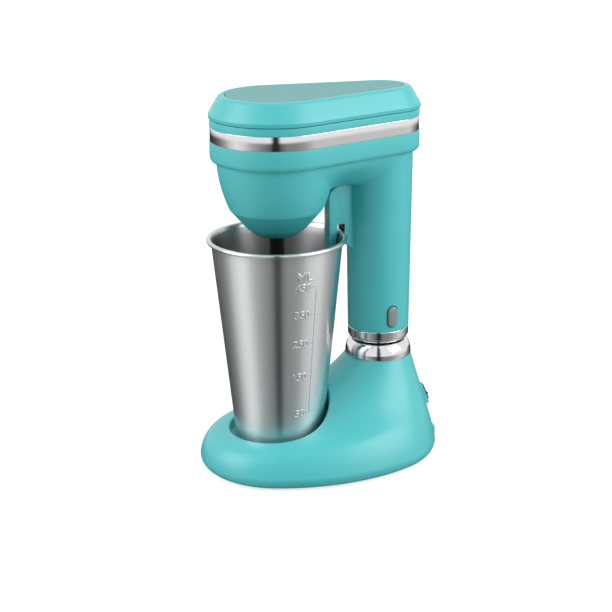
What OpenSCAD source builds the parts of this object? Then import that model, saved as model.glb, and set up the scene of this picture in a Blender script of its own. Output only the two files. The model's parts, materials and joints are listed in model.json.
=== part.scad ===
// Milkshake mixer: a motor head on a column, over a steel beaker on a lofted stand.
// +Z up, the front faces -Y, origin on the table under the middle of the stand.

/* [Layout] */
// Distance from the beaker axis to the column axis
axis_gap = 78.5; // [76:0.5:82]
// Height of the flat top of the stand's neck
neck_z = 71; // [69:0.5:73]
// Height of the column's lower end
column_z = 92; // [90:0.5:94]
// Height of the underside of the head's waist
waist_z = 220; // [218:0.5:224]

/* [Beaker] */
// Outer radius of the beaker at the foot
cup_foot_r = 30.8; // [29:0.1:32]
// Outer radius of the beaker at the mouth
cup_mouth_r = 45.3; // [44.5:0.1:45.6]
// Height of the beaker over its rolled rim
cup_h = 146.6; // [145:0.2:147.5]
// Thickness of the beaker's sheet steel
cup_wall = 0.6; // [0.5:0.1:0.9]
// Radius of the rolled rim's wire
rim_wire_r = 1.55; // [1.3:0.05:1.7]
// Height of the recess floor above the table
recess_floor_z = 20; // [19:0.5:21]
// Gap between the beaker's foot and the recess wall
recess_gap = 4.8; // [4.2:0.1:5.5]

/* [Stand] */
// Radius of the stand's front end about the beaker axis
stand_front_r = 56.7; // [54:0.1:60]
// Radius of the stand's rear end
stand_rear_r = 62; // [59:0.5:66]
// How far the stand reaches behind the column axis
stand_rear_reach = 39.5; // [38:0.5:43]
// Radius of the bowed sides of the stand
stand_side_r = 135; // [120:1:170]
// Height of the stand's widest line
stand_edge_z = 8.6; // [8:0.1:9.5]
// Height of the stand's deck at the front
stand_deck_z = 26; // [25:0.5:28]
// How far the bottom edge rolls in under the stand
stand_roll = 6.5; // [5:0.5:8]
// Outer radius of the neck at its flat top
neck_r = 23.6; // [23:0.1:24.5]
// Wall thickness of the stand moulding
stand_wall = 2.6; // [2:0.1:3]
// Height of the stand's lower edge above the table
shell_lift = 1.2; // [1:0.1:2]
// Thickness of the plate that closes the stand below
plate_t = 2; // [1.6:0.1:3]
// Radius of the rubber feet
foot_r = 7; // [5:0.5:9]

/* [Head] */
// Radius of the waist's front end about the beaker axis
waist_front_r = 44.5; // [44:0.1:46]
// Radius of the waist's rear end about the column axis
waist_rear_r = 27.8; // [27.2:0.1:28.6]
// Radius of the bowl under the waist
bowl_r = 40.2; // [39.8:0.1:40.6]
// Height of the bowl's crease
crease_z = 186.5; // [185:0.5:188]
// Radius of the bowl at its crease
crease_r = 32; // [31:0.1:33]
// Height of the flat nose under the bowl
nose_z = 168; // [167.5:0.1:169]
// Height of the chrome band above the underside of the waist
band_rise = 14.3; // [13:0.1:16]
// Height of the chrome band
band_h = 10; // [8:0.5:11]
// Height of the moulding's rim above the band
rim_h = 5.1; // [4:0.1:6]
// Height of the cover over the parting line
cover_h = 15; // [14:0.5:17]
// How far the cover's sloping edge draws in
cover_slope_in = 6.6; // [5:0.1:8]
// Width of the cover's top left round the inlay plate
cover_margin = 5.1; // [4:0.1:7]
// Wall thickness of the head mouldings
head_wall = 2.5; // [2:0.1:3]

/* [Column] */
// Column radius at its lower end
column_low_r = 21.8; // [21.4:0.1:22.4]
// Column radius under the waist
column_top_r = 23.45; // [23:0.05:24]
// Height of the chrome collar under the column
collar_h = 12; // [11:0.5:12.5]
// Radius of the spigot that plugs into the neck
spigot_r = 15.7; // [15:0.1:16]
// How far the spigot reaches below the collar
spigot_reach = 27; // [22:0.5:30]

/* [Rim hook] */
// Width of the hook across
hook_w = 8.3; // [7:0.1:9]
// Distance of the hook's front face from the beaker axis
hook_front = 38; // [36:0.5:39.5]
// Height of the hook's top
hook_top_z = 198; // [196:0.5:200]
// Height of the hook's lower end
hook_low_z = 153; // [150:0.5:156]

/* [Release button] */
// Width of the button
button_w = 7.5; // [6.5:0.1:8.5]
// Height of the button
button_h = 15.5; // [14:0.5:17]
// How far the button stands out of the column
button_proud = 1.9; // [1.2:0.1:2.1]
// Height of the button's centre above the column's lower end
button_rise = 11.6; // [11:0.1:13]

/* [Power switch] */
// Width of the rocker
rocker_w = 15; // [13:0.5:17]
// Height of the rocker along its sloping face
rocker_h = 10; // [9:0.5:12]
// Height of the rocker's middle
rocker_z = 37; // [35:0.5:39]
// Lean of the rocker's face back from upright
rocker_lean = 23; // [18:1:28]
// Angle between the rocker's two positions
rocker_throw = 16; // [10:1:20]
// Radius of the cord inlet's bore
inlet_r = 3.1; // [2.5:0.1:3.5]

/* [Spindle and motor] */
// Radius of the steel spindle
spindle_r = 3; // [2.5:0.1:3.5]
// Radius of the black sleeve on the spindle
sleeve_r = 5.1; // [4.5:0.1:6]
// Length of the black sleeve below the nose
sleeve_len = 24; // [18:0.5:30]
// Gap between the agitator and the recess floor
agitator_rise = 11; // [9:0.5:16]
// Radius of the agitator disc
agitator_r = 14; // [11:0.5:16]
// Outer radius of the motor can
motor_r = 19.5; // [18:0.5:20.5]
// Radius of the motor shaft
motor_shaft_r = 2.5; // [2:0.1:2.9]
// Radius of the cooling fan
fan_r = 24; // [20:0.5:26]

/* [Fits] */
// Gap between pieces of different bodies
gap = 0.3; // [0.25:0.01:0.35]
// Radial clearance of a running shaft
run = 0.05; // [0.03:0.01:0.08]

/* [Hidden] */
$fn = 72;

turquoise = [0.42, 0.80, 0.80];
grey_teal = [0.52, 0.72, 0.71];
steel = [0.72, 0.72, 0.72];
chrome = [0.85, 0.86, 0.87];
black = [0.06, 0.06, 0.07];
copper = [0.72, 0.45, 0.25];
brass = [0.80, 0.66, 0.32];

// the stand's length sets where the two axes lie, so that the origin stays in the middle
pad_proud = 1.8;
stand_len = stand_front_r + axis_gap + stand_rear_reach + pad_proud;
cup_y = stand_front_r - stand_len / 2;
col_y = cup_y + axis_gap;

// ---- the stand's outline ----
// four arcs about the column axis: front end, bowed sides and rear end
front_c = -axis_gap;
rear_c = stand_rear_reach - stand_rear_r;
end_gap = rear_c - front_c;
side_to_front = stand_side_r - stand_front_r;
side_to_rear = stand_side_r - stand_rear_r;
side_cy = (pow(side_to_front, 2) - pow(side_to_rear, 2) + pow(end_gap, 2)) / (2 * end_gap);
side_cx = sqrt(pow(side_to_front, 2) - pow(side_cy, 2));
front_turn = atan2(side_cx, side_cy);
rear_turn = atan2(side_cx, side_cy - end_gap);

// point of the outline whose outward normal stands at angle a from the front
function facing(a) = [sin(a), -cos(a)];
function folded(a) = a > 180 ? 360 - a : a;
function mirrored(p, a) = a > 180 ? [-p[0], p[1]] : p;
function outline_half(a) =
    a < front_turn ? [0, front_c] + stand_front_r * facing(a)
    : a < rear_turn ? [-side_cx, front_c + side_cy] + stand_side_r * facing(a)
    : [0, rear_c] + stand_rear_r * facing(a);
function outline(a) = mirrored(outline_half(folded(a)), a);

function mix(a, b, t) = a + (b - a) * t;
// 1 at the front, 0 at the back
function frontness(a) = pow(cos(a / 2), 2);

// ---- the stand's flank, from the neck (0) over the deck to the widest line (1) ----
// share of the way out, and height, where the flank turns over into the edge
deck_share = [0.62, 0.86];
deck_height = [34, stand_deck_z];
sweep_power = [1, 2.4];
function flank_sweep(k, x) =
    [deck_share[k] * x, deck_height[k] + (neck_z - deck_height[k]) * pow(1 - x, sweep_power[k])];
function flank_edge(k, v) = k == 1
    ? [mix(deck_share[k], 1, sin(90 * v)), mix(stand_edge_z, deck_height[k], cos(90 * v))]
    : [mix(deck_share[k], 1, 1 - pow(1 - v, 1.15)), mix(deck_height[k], stand_edge_z, v)];
function flank(a, x, v) = v == 0
    ? mix(flank_sweep(0, x), flank_sweep(1, x), frontness(a))
    : mix(flank_edge(0, v), flank_edge(1, v), frontness(a));

// a ring of the flank, drawn in by wall and lowered by drop
function flank_ring(x, v, wall, drop, steps) = [for (i = [0 : steps - 1])
    let (a = 360 * i / steps, f = flank(a, x, v), n = facing(a))
    let (p = mix((neck_r - wall) * n, outline(a) - wall * n, f[0]))
    [p[0], p[1], f[1] - drop]];
// a ring of the rolled bottom edge, t running from the widest line (0) to the lower edge (1)
function roll_ring(t, wall, steps) = [for (i = [0 : steps - 1])
    let (a = 360 * i / steps, n = facing(a))
    let (p = outline(a) - (wall + stand_roll * (1 - cos(90 * t))) * n)
    [p[0], p[1], mix(stand_edge_z, shell_lift, sin(90 * t))]];

// closed skin over rings that all have the same number of points, top ring first
module skin(rings) {
    n = len(rings[0]);
    m = len(rings);
    points = [for (r = rings) each r];
    sides = [for (j = [0 : m - 2]) for (i = [0 : n - 1])
        let (k = (i + 1) % n)
        each [[j * n + i, (j + 1) * n + k, (j + 1) * n + i], [j * n + i, j * n + k, (j + 1) * n + k]]];
    top = [for (i = [n - 1 : -1 : 0]) i];
    bottom = [for (i = [0 : n - 1]) (m - 1) * n + i];
    polyhedron(points, concat([top], sides, [bottom]), convexity = 10);
}

stand_steps = 72;
sweep_stops = [0, 0.04, 0.09, 0.16, 0.25, 0.36, 0.5, 0.66, 0.83, 1];
edge_stops = [0.15, 0.32, 0.5, 0.68, 0.85, 1];
roll_stops = [0.35, 0.7, 1];
module stand_solid() {
    translate([0, col_y, 0]) skin(concat(
        [for (x = sweep_stops) flank_ring(x, 0, 0, 0, stand_steps)],
        [for (v = edge_stops) flank_ring(1, v, 0, 0, stand_steps)],
        [for (t = roll_stops) roll_ring(t, 0, stand_steps)]));
}
cavity_steps = 48;
cavity_sweep = [0, 0.1, 0.25, 0.45, 0.7, 1];
cavity_edge = [0.35, 0.7, 1];
module stand_cavity() {
    translate([0, col_y, 0]) skin(concat(
        [for (x = cavity_sweep) flank_ring(x, 0, stand_wall, stand_wall, cavity_steps)],
        [for (v = cavity_edge) flank_ring(1, v, stand_wall, v == 1 ? 0 : stand_wall, cavity_steps)],
        [for (t = [0.5, 1]) [for (p = roll_ring(t, stand_wall, cavity_steps))
            t == 1 ? [p[0], p[1], 0] : p]]));
}

// ---- base_shell ----
recess_r = cup_foot_r + recess_gap;
tub_wall = 2.4;
tub_floor_t = 2.4;
plate_z = shell_lift + 0.4;
post_r = 4;
screw_r = 1.4;
screw_head_r = 2.8;
screw_head_h = 1.6;
post_top_z = 15;
post_places = [[-32, cup_y - 28], [32, cup_y - 28], [-38, col_y + 2], [38, col_y + 2]];
lip_t = stand_wall;
socket_r = 18.7;
socket_hole_r = socket_r + gap;
rocker_y = col_y + stand_rear_reach - 4;
boss_w = 22;
boss_h = 20;
pad_w = 34;
pad_top_z = 12;
inlet_z = 6.6;
inlet_wall = 1.5;
inlet_flange_r = inlet_r + inlet_wall + 0.9;
inlet_flange_t = 2;
inlet_flat = 3.4;
inlet_len = 9;

// puts its children on the rocker's sloping face, with +Z out of the face
module at_rocker() {
    translate([0, rocker_y, rocker_z]) rotate([rocker_lean - 90, 0, 0]) rotate([0, 0, 180]) children();
}
bezel_w = rocker_w + 4;
bezel_h = rocker_h + 4;
bezel_t = 1.4;
switch_depth = 13;
switch_side = 0.8;

module rounded_block(w, h, d, r) {
    linear_extrude(d) union() {
        square([w - 2 * r, h], center = true);
        square([w, h - 2 * r], center = true);
        for (sx = [-1, 1]) for (sy = [-1, 1])
            translate([sx * (w / 2 - r), sy * (h / 2 - r)]) circle(r, $fn = 32);
    }
}

module base_shell() color(turquoise) difference() {
    union() {
        stand_solid();
        // raised boss round the rocker, and the low pad round the cord inlet
        at_rocker() translate([0, 0, -8]) rounded_block(boss_w, boss_h, 8 - bezel_t, 4);
        intersection() {
            translate([0, col_y + rear_c, shell_lift]) cylinder(r = stand_rear_r + pad_proud, h = pad_top_z);
            translate([-pad_w / 2, col_y + stand_rear_reach - 4, shell_lift])
                cube([pad_w, 4 + pad_proud, pad_top_z - shell_lift]);
        }
    }
    // the hollow, less the recess's tub, the screw posts and the lip under the chrome ring
    difference() {
        stand_cavity();
        translate([0, cup_y, recess_floor_z - tub_floor_t]) cylinder(r = recess_r + tub_wall, h = neck_z);
        for (p = post_places) translate([p[0], p[1], plate_z + plate_t])
            cylinder(r = post_r, h = neck_z, $fn = 32);
        translate([0, col_y, neck_z - lip_t]) cylinder(r = neck_r, h = lip_t);
    }
    translate([0, cup_y, recess_floor_z]) cylinder(r = recess_r, h = neck_z);
    translate([0, col_y, neck_z - lip_t - 1]) cylinder(r = socket_hole_r, h = lip_t + 2);
    for (p = post_places) translate([p[0], p[1], 0]) cylinder(r = screw_r, h = post_top_z);
    // the switch's cut-out
    at_rocker() translate([0, 0, -20])
        linear_extrude(24)
            square([rocker_w + 2 * switch_side + 0.6, rocker_h + 2 * switch_side + 0.6], center = true);
    // the cord inlet's hole
    translate([0, col_y + stand_rear_reach - 12, inlet_z]) rotate([-90, 0, 0])
        cylinder(r = inlet_r + inlet_wall + 0.1, h = 20, $fn = 32);
}

// ---- closing plate, feet and screws ----
plate_inset = stand_wall + stand_roll + 0.6;
module base_plate() color(black) translate([0, 0, plate_z]) difference() {
    linear_extrude(plate_t) translate([0, col_y])
        polygon([for (i = [0 : 71]) let (a = 5 * i) outline(a) - plate_inset * facing(a)]);
    for (p = post_places) translate([p[0], p[1], -1]) {
        cylinder(r = screw_r + 0.2, h = plate_t + 2, $fn = 32);
        cylinder(r = screw_head_r + 0.2, h = 1 + screw_head_h, $fn = 32);
    }
}
foot_places = [[-24, cup_y - 34], [24, cup_y - 34], [-40, col_y - 8], [40, col_y - 8]];
module rubber_feet() color([0.12, 0.12, 0.12]) for (p = foot_places)
    translate([p[0], p[1], 0]) rotate_extrude()
        polygon([[0, 0], [foot_r - 0.8, 0], [foot_r, 0.8], [foot_r, plate_z], [0, plate_z]]);
module base_screws() color(steel) for (p = post_places) translate([p[0], p[1], plate_z]) {
    cylinder(r = screw_head_r, h = screw_head_h - 0.1, $fn = 32);
    cylinder(r = screw_r - 0.02, h = post_top_z - plate_z - 1, $fn = 32);
}

// ---- chrome ring on the neck ----
ring_h = 11;
ring_top_z = neck_z + ring_h;
ring_bore_r = socket_r + 0.2;
module neck_ring() color(chrome) translate([0, col_y, neck_z]) rotate_extrude()
    polygon([[ring_bore_r, 0], [neck_r - 0.1, 0], [neck_r + 0.05, 1.4], [neck_r - 0.1, 4],
        [neck_r - 0.8, 7], [neck_r - 2, 9.2], [neck_r - 3, 10.4], [neck_r - 3.8, ring_h],
        [ring_bore_r, ring_h]]);

// ---- neck socket, with the keyway for the latch ----
collar_low_z = column_z - collar_h;
socket_top_z = collar_low_z - gap;
spigot_low_z = collar_low_z - spigot_reach;
socket_bore_r = spigot_r + gap;
block_h = 8;
block_top_z = spigot_low_z - 1;
socket_floor_z = block_top_z - block_h;
socket_floor_t = 3;
flange_t = 2.2;
keyway_w = 6.6;
latch_z = column_z - 18;
module neck_socket() color(black) translate([0, col_y, 0]) difference() {
    union() {
        translate([0, 0, socket_floor_z - socket_floor_t])
            cylinder(r = socket_r, h = socket_top_z - socket_floor_z + socket_floor_t);
        translate([0, 0, neck_z - lip_t - flange_t]) cylinder(r = socket_r + 1.5, h = flange_t);
    }
    translate([0, 0, socket_floor_z]) cylinder(r = socket_bore_r, h = socket_top_z);
    // keyway, open at the top
    translate([0, -keyway_w / 2, latch_z - 5])
        cube([socket_r - 0.8, keyway_w, socket_top_z]);
}
pin_r = 1.2;
pin_circle = 7;
pin_len = block_h - 1.2;
module contact_block() color([0.2, 0.2, 0.22]) translate([0, col_y, socket_floor_z]) difference() {
    cylinder(r = socket_bore_r - 0.1, h = block_h);
    for (a = [90, 210, 330]) rotate([0, 0, a]) translate([pin_circle, 0, 0.8])
        cylinder(r = pin_r + gap, h = block_h, $fn = 32);
}

// ---- rocker switch ----
module rocker_bezel() color(black) at_rocker() difference() {
    translate([0, 0, -bezel_t]) rounded_block(bezel_w, bezel_h, bezel_t, 1.2);
    translate([0, 0, -bezel_t - 1]) linear_extrude(bezel_t + 2)
        square([rocker_w + 0.6, rocker_h + 0.6], center = true);
}
rocker_pin_r = 1;
rocker_pin_depth = 3;
module switch_body() color(black) at_rocker() difference() {
    translate([0, 0, -switch_depth]) linear_extrude(switch_depth - bezel_t)
        square([rocker_w + 2 * switch_side + 0.4, rocker_h + 2 * switch_side + 0.4], center = true);
    translate([0, 0, -9]) linear_extrude(10)
        square([rocker_w + 0.6, rocker_h + 0.6], center = true);
    translate([-rocker_w, 0, -rocker_pin_depth]) rotate([0, 90, 0])
        cylinder(r = rocker_pin_r + run, h = 2 * rocker_w, $fn = 32);
}
// the key's two faces meet in a shallow valley, and it rests with its lower half pressed in
module rocker() color([0.09, 0.09, 0.10]) at_rocker()
    translate([0, 0, -rocker_pin_depth]) rotate([-rocker_throw / 2, 0, 0]) {
        rotate([90, 0, 90]) translate([0, 0, -rocker_w / 2 + 0.2])
            linear_extrude(rocker_w - 0.4) polygon([
                [-rocker_h / 2 + 0.6, -1.2], [-rocker_h / 2 + 0.4, rocker_pin_depth + 1.3],
                [0, rocker_pin_depth + 0.1], [rocker_h / 2 - 0.4, rocker_pin_depth + 1.3],
                [rocker_h / 2 - 0.6, -1.2], [1.5, -2.6], [-1.5, -2.6]]);
        translate([-rocker_w / 2 - 0.6, 0, 0]) rotate([0, 90, 0])
            cylinder(r = rocker_pin_r, h = rocker_w + 1.2, $fn = 32);
    }

// ---- cord inlet ----
module cord_inlet() color(black) translate([0, col_y + stand_rear_reach + pad_proud - inlet_len, inlet_z])
    rotate([-90, 0, 0]) difference() {
        union() {
            cylinder(r = inlet_r + inlet_wall, h = inlet_len, $fn = 48);
            // flange, flat below where the shell rolls in under it
            difference() {
                cylinder(r = inlet_flange_r, h = inlet_flange_t, $fn = 48);
                translate([-inlet_flange_r, inlet_flat, -1])
                    cube([2 * inlet_flange_r, inlet_flange_r, inlet_flange_t + 2]);
            }
        }
        translate([0, 0, -1]) cylinder(r = inlet_r, h = inlet_len + 2, $fn = 48);
    }

// ---- teardrop outlines of the head: an arc about each axis, joined by all but straight sides ----
module teardrop(front_r, rear_r) {
    polygon(section(front_r, rear_r, straight_fillet));
}
module teardrop_block(inset, h) {
    linear_extrude(h) teardrop(waist_front_r - inset, waist_rear_r - inset);
}

// ---- section of the head: bowl arc and column arc joined by a hollow arc of radius fillet ----
bowl_steps = 26;
fillet_steps = 4;
column_steps = 12;
function arc_points(c, r, a0, a1, n, first = 1) = [for (i = [first : n])
    let (a = mix(a0, a1, i / n)) [c[0] + r * cos(a), c[1] + r * sin(a)]];
function fillet_centre(front_r, rear_r, fillet) =
    let (a = front_r + fillet, b = rear_r + fillet)
    let (y = (a * a - b * b + axis_gap * axis_gap) / (2 * axis_gap))
    [sqrt(a * a - y * y), y];
function both_sides(half, last) =
    concat(half, [for (i = [len(half) - 1 - last : -1 : last]) [-half[i][0], half[i][1]]]);
function section(front_r, rear_r, fillet) =
    let (c = fillet_centre(front_r, rear_r, fillet))
    let (at_bowl = atan2(c[1], c[0]), at_column = atan2(c[1] - axis_gap, c[0]))
    both_sides(concat(
        arc_points([0, 0], front_r, -90, at_bowl, bowl_steps, 0),
        arc_points(c, fillet, 180 + at_bowl, 180 + at_column, fillet_steps),
        arc_points([0, axis_gap], rear_r, at_column, 90, column_steps)), 1);
function raised(outline_points, z) = [for (p = outline_points) [p[0], p[1], z]];

// bowl radius under the waist: a slow curve down to the crease, then a cone, then the nose
bowl_drop = waist_z - crease_z;
function bowl_at(z) = bowl_r - (bowl_r - crease_r)
    * mix((waist_z - z) / bowl_drop, pow((waist_z - z) / bowl_drop, 2), 0.8);
function column_at(z) = mix(column_low_r, column_top_r, (z - column_z) / (waist_z - column_z));
straight_fillet = 4000;
band_z = waist_z + band_rise;
// the waist's rounded lower edge: inset and height of each ring
waist_edge_r = 4;
waist_turn = [0, 20, 40, 60, 80, 90];
module waist() {
    translate([0, cup_y, 0]) skin(concat(
        [raised(section(waist_front_r, waist_rear_r, straight_fillet), band_z)],
        [for (i = [len(waist_turn) - 1 : -1 : 0])
            let (inset = waist_edge_r * (1 - sin(waist_turn[i])))
            let (up = waist_edge_r * (1 - cos(waist_turn[i])))
            raised(section(waist_front_r - inset, waist_rear_r - inset, straight_fillet), waist_z + up)]));
}
// the bridge between bowl and column: a round-bellied beam that starts and ends in their hollows
belly_r = 20;
belly_start = 22;
belly_steps = 23;
module bridge() {
    translate([0, col_y, 0]) rotate([90, 0, 0]) linear_extrude(axis_gap - belly_start)
        polygon(concat(
            [for (i = [0 : belly_steps]) let (a = 180 + 180 * i / belly_steps)
                [belly_r * cos(a), hook_top_z + belly_r + belly_r * sin(a)]],
            [[belly_r, waist_z + 1], [-belly_r, waist_z + 1]]));
}

// ---- motor_housing ----
rim_z = band_z + band_h;
housing_top_z = rim_z + rim_h;
band_seat = 1.5;
rim_inset = 0.1;
inner_inset = waist_edge_r;
nose_r = 13;
nose_round_z = nose_z + 4;
nose_round_r = nose_r + 6.3;
seat_r = 8;
seat_h = 7;
mount_z = 224;
post_circle = waist_front_r - 10;
duct_w = 24;
duct_z = 210;
post_angles = [90, 210, 330];
mount_places = [for (a = post_angles) [post_circle * cos(a + 180), cup_y + post_circle * sin(a + 180)]];
mount_post_r = 3.6;
cover_post_r = 3.6;
// where the cover's screws stand: axis, direction, distance from the axis and of the wall
front_post_d = waist_front_r - 15.1;
rear_post_d = waist_rear_r - 16.8;
cover_posts = [[cup_y, -90, front_post_d, waist_front_r], [cup_y, 20, front_post_d, waist_front_r],
    [cup_y, 160, front_post_d, waist_front_r], [col_y, 90, rear_post_d, waist_rear_r]];
cover_post_places = [for (p = cover_posts) [p[2] * cos(p[1]), p[0] + p[2] * sin(p[1])]];
rib_t = 2;
cover_post_z = rim_z - 12;
tongue_h = 4;
button_z = column_z + button_rise;
// the button's spring: its far end, coil, wire and the boss that it stands on
spring_back = -4;
spring_coil_r = 3;
spring_wire_r = 0.45;
spring_turns = 5;
spring_boss_w = 8;
function bowl_profile(wall, low) = concat(
    [[0, low], [nose_r - wall, low], [nose_round_r - 2 - wall, mix(low, nose_round_z + wall / 2, 0.35)],
        [nose_round_r - wall, nose_round_z + wall / 2]],
    [for (t = [0 : 0.125 : 0.875]) let (z = mix(crease_z, waist_z, t)) [bowl_at(z) - wall, z]]);
module stadium(w, h, d) {
    rotate([90, 0, 90]) linear_extrude(d) union() {
        square([w, h - w], center = true);
        for (s = [-1, 1]) translate([0, s * (h - w) / 2]) circle(w / 2, $fn = 32);
    }
}
module motor_housing() color(turquoise) difference() {
    union() {
        waist();
        bridge();
        translate([0, cup_y, band_z]) teardrop_block(band_seat, band_h);
        translate([0, cup_y, rim_z]) teardrop_block(rim_inset, rim_h);
        translate([0, cup_y, 0]) rotate_extrude($fn = 96)
            polygon(concat(bowl_profile(0, nose_z), [[bowl_r, waist_z + 1], [0, waist_z + 1]]));
        translate([0, col_y, column_z])
            cylinder(r1 = column_low_r, r2 = column_at(waist_z + 1), h = waist_z + 1 - column_z, $fn = 96);
    }
    difference() {
        union() {
            // inside of the waist, the bowl, the duct over the arch and the column
            translate([0, cup_y, waist_z + head_wall]) teardrop_block(inner_inset, housing_top_z);
            translate([0, cup_y, 0]) rotate_extrude($fn = 96)
                polygon(concat(bowl_profile(head_wall, nose_z + head_wall + seat_h),
                    [[bowl_r - head_wall + 1, waist_z + head_wall + 1], [0, waist_z + head_wall + 1]]));
            translate([-duct_w / 2, cup_y, duct_z])
                cube([duct_w, axis_gap, waist_z + head_wall + 1 - duct_z]);
            translate([0, col_y, column_z - 1]) cylinder(r1 = column_low_r - head_wall,
                r2 = column_top_r - head_wall, h = waist_z - column_z + 6, $fn = 96);
        }
        // boss behind the button's spring
        translate([-column_low_r, col_y - spring_boss_w / 2, button_z - spring_boss_w / 2])
            cube([column_low_r + spring_back - 0.1, spring_boss_w, spring_boss_w]);
        // seat of the spindle bearing, posts of the motor and of the cover
        translate([0, cup_y, nose_z]) cylinder(r = seat_r + 2.5, h = seat_h + head_wall);
        for (p = mount_places) translate([p[0], p[1], crease_z])
            cylinder(r = mount_post_r, h = mount_z - crease_z, $fn = 32);
        for (p = cover_posts) translate([0, p[0], cover_post_z]) rotate([0, 0, p[1]]) {
            translate([p[2], 0, 0]) cylinder(r = cover_post_r, h = housing_top_z - cover_post_z, $fn = 32);
            translate([p[2], -rib_t / 2, 0])
                cube([p[3] - inner_inset - p[2] + 1, rib_t, housing_top_z - cover_post_z - tongue_h - 1]);
        }
    }
    translate([0, cup_y, nose_z + 1.5]) cylinder(r = seat_r, h = seat_h + head_wall + 8);
    translate([0, cup_y, nose_z - 1]) cylinder(r = sleeve_r + 1.2, h = 10);
    for (p = mount_places) translate([p[0], p[1], mount_z - 9])
        cylinder(r = screw_r, h = 20, $fn = 32);
    for (p = cover_post_places) translate([p[0], p[1], cover_post_z + 2])
        cylinder(r = screw_r, h = 30, $fn = 32);
    translate([column_low_r - 8, col_y, button_z]) stadium(button_w + 0.8, button_h + 0.8, 12);
}

// ---- chrome band, cover and inlay plate ----
module trim_band() color(chrome) translate([0, cup_y, band_z + 0.05]) difference() {
    teardrop_block(0.4, band_h - 0.1);
    translate([0, 0, -1]) teardrop_block(band_seat - 0.02, band_h + 2);
}
part_line = 0.4;
cover_z = housing_top_z + part_line;
cover_top_z = cover_z + cover_h;
cover_proud = 0.5;
cover_skirt = 2.5;
inlay_t = 2;
inlay_groove = 0.3;
inlay_front_r = waist_front_r - cover_slope_in + 0.6 - cover_margin;
inlay_rear_r = waist_rear_r - cover_slope_in - 0.2 - cover_margin;
// the cover's rings, from the skirt up the slope to the softened top edge: inset and height
cover_rings = [[0.5, 0], [0, 0.5], [0, cover_skirt], [0.5, cover_skirt + 1],
    [cover_slope_in, cover_h - 1.2], [cover_slope_in + 0.6, cover_h - 0.35], [cover_slope_in + 1.6, cover_h]];
function cover_section(inset) =
    section(waist_front_r + cover_proud - inset, waist_rear_r + cover_proud + 0.2 - inset, straight_fillet);
module top_cover() color(turquoise) difference() {
    union() {
        translate([0, cup_y, cover_z]) difference() {
            skin([for (i = [len(cover_rings) - 1 : -1 : 0])
                raised(cover_section(cover_rings[i][0]), cover_rings[i][1])]);
            hull() {
                translate([0, 0, 1.5]) linear_extrude(1) teardrop(waist_front_r - 3, waist_rear_r - 3);
                translate([0, 0, cover_h - inlay_t - 3.4]) linear_extrude(1)
                    teardrop(waist_front_r - cover_slope_in - 3, waist_rear_r - cover_slope_in - 3);
            }
            translate([0, 0, -1]) teardrop_block(inner_inset + 2, 3);
        }
        // tongue that drops inside the moulding's rim, and the screw pillars
        translate([0, cup_y, cover_z - tongue_h]) difference() {
            teardrop_block(inner_inset + 0.2, tongue_h + 1);
            translate([0, 0, -1]) teardrop_block(inner_inset + 2, tongue_h + 3);
        }
        for (p = cover_post_places) translate([p[0], p[1], housing_top_z])
            cylinder(r = cover_post_r, h = cover_h - inlay_t - 1, $fn = 32);
    }
    translate([0, cup_y, cover_top_z - inlay_t]) linear_extrude(inlay_t + 1)
        teardrop(inlay_front_r + inlay_groove, inlay_rear_r + inlay_groove);
    for (p = cover_post_places) translate([p[0], p[1], 0]) {
        cylinder(r = screw_r + 0.3, h = cover_top_z, $fn = 32);
        translate([0, 0, cover_top_z - inlay_t - 3]) cylinder(r = screw_head_r + 0.2, h = 10, $fn = 32);
        cylinder(r = cover_post_r + 0.3, h = housing_top_z, $fn = 32);
    }
}
module top_plate() color(grey_teal) translate([0, cup_y, cover_top_z - inlay_t])
    linear_extrude(inlay_t) teardrop(inlay_front_r, inlay_rear_r);
module cover_screws() color(steel) for (p = cover_post_places) translate([p[0], p[1], 0]) {
    translate([0, 0, cover_post_z + 4])
        cylinder(r = screw_r - 0.02, h = cover_top_z - inlay_t - 3 - cover_post_z - 4, $fn = 32);
    translate([0, 0, cover_top_z - inlay_t - 3]) cylinder(r = screw_head_r, h = 1.8, $fn = 32);
}

// ---- rim hook ----
rim_bead_z = recess_floor_z + cup_h - rim_wire_r;
notch_front = cup_mouth_r - 2.3;
notch_back = cup_mouth_r + 2 * rim_wire_r + 1.4;
leg_low = cup_mouth_r - 3.6;
leg_high = cup_mouth_r - 2.7;
notch_top_z = rim_bead_z + rim_wire_r + 3.8;
hook_corner = 9;
module cup_hook() color(turquoise) difference() {
    translate([-hook_w / 2, cup_y, 0]) rotate([90, 0, 90]) linear_extrude(hook_w) difference() {
        polygon(concat(
            [[hook_front, hook_low_z - 1], [hook_front + 1.5, hook_low_z - 2], [leg_low, hook_low_z - 1],
                [leg_high, notch_top_z - 6], [notch_front, notch_top_z], [notch_back, notch_top_z],
                [notch_back, hook_low_z + 4], [axis_gap, hook_low_z - 6], [axis_gap, hook_top_z]],
            [for (a = [90 : 15 : 180]) [hook_front + hook_corner + hook_corner * cos(a),
                hook_top_z - hook_corner + hook_corner * sin(a)]]));
    }
    translate([0, col_y, column_z])
        cylinder(r1 = column_low_r, r2 = column_top_r, h = waist_z - column_z, $fn = 96);
    translate([0, cup_y, 0]) rotate_extrude($fn = 96)
        polygon(concat(bowl_profile(0, nose_z), [[bowl_r, waist_z + 1], [0, waist_z + 1]]));
}

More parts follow.
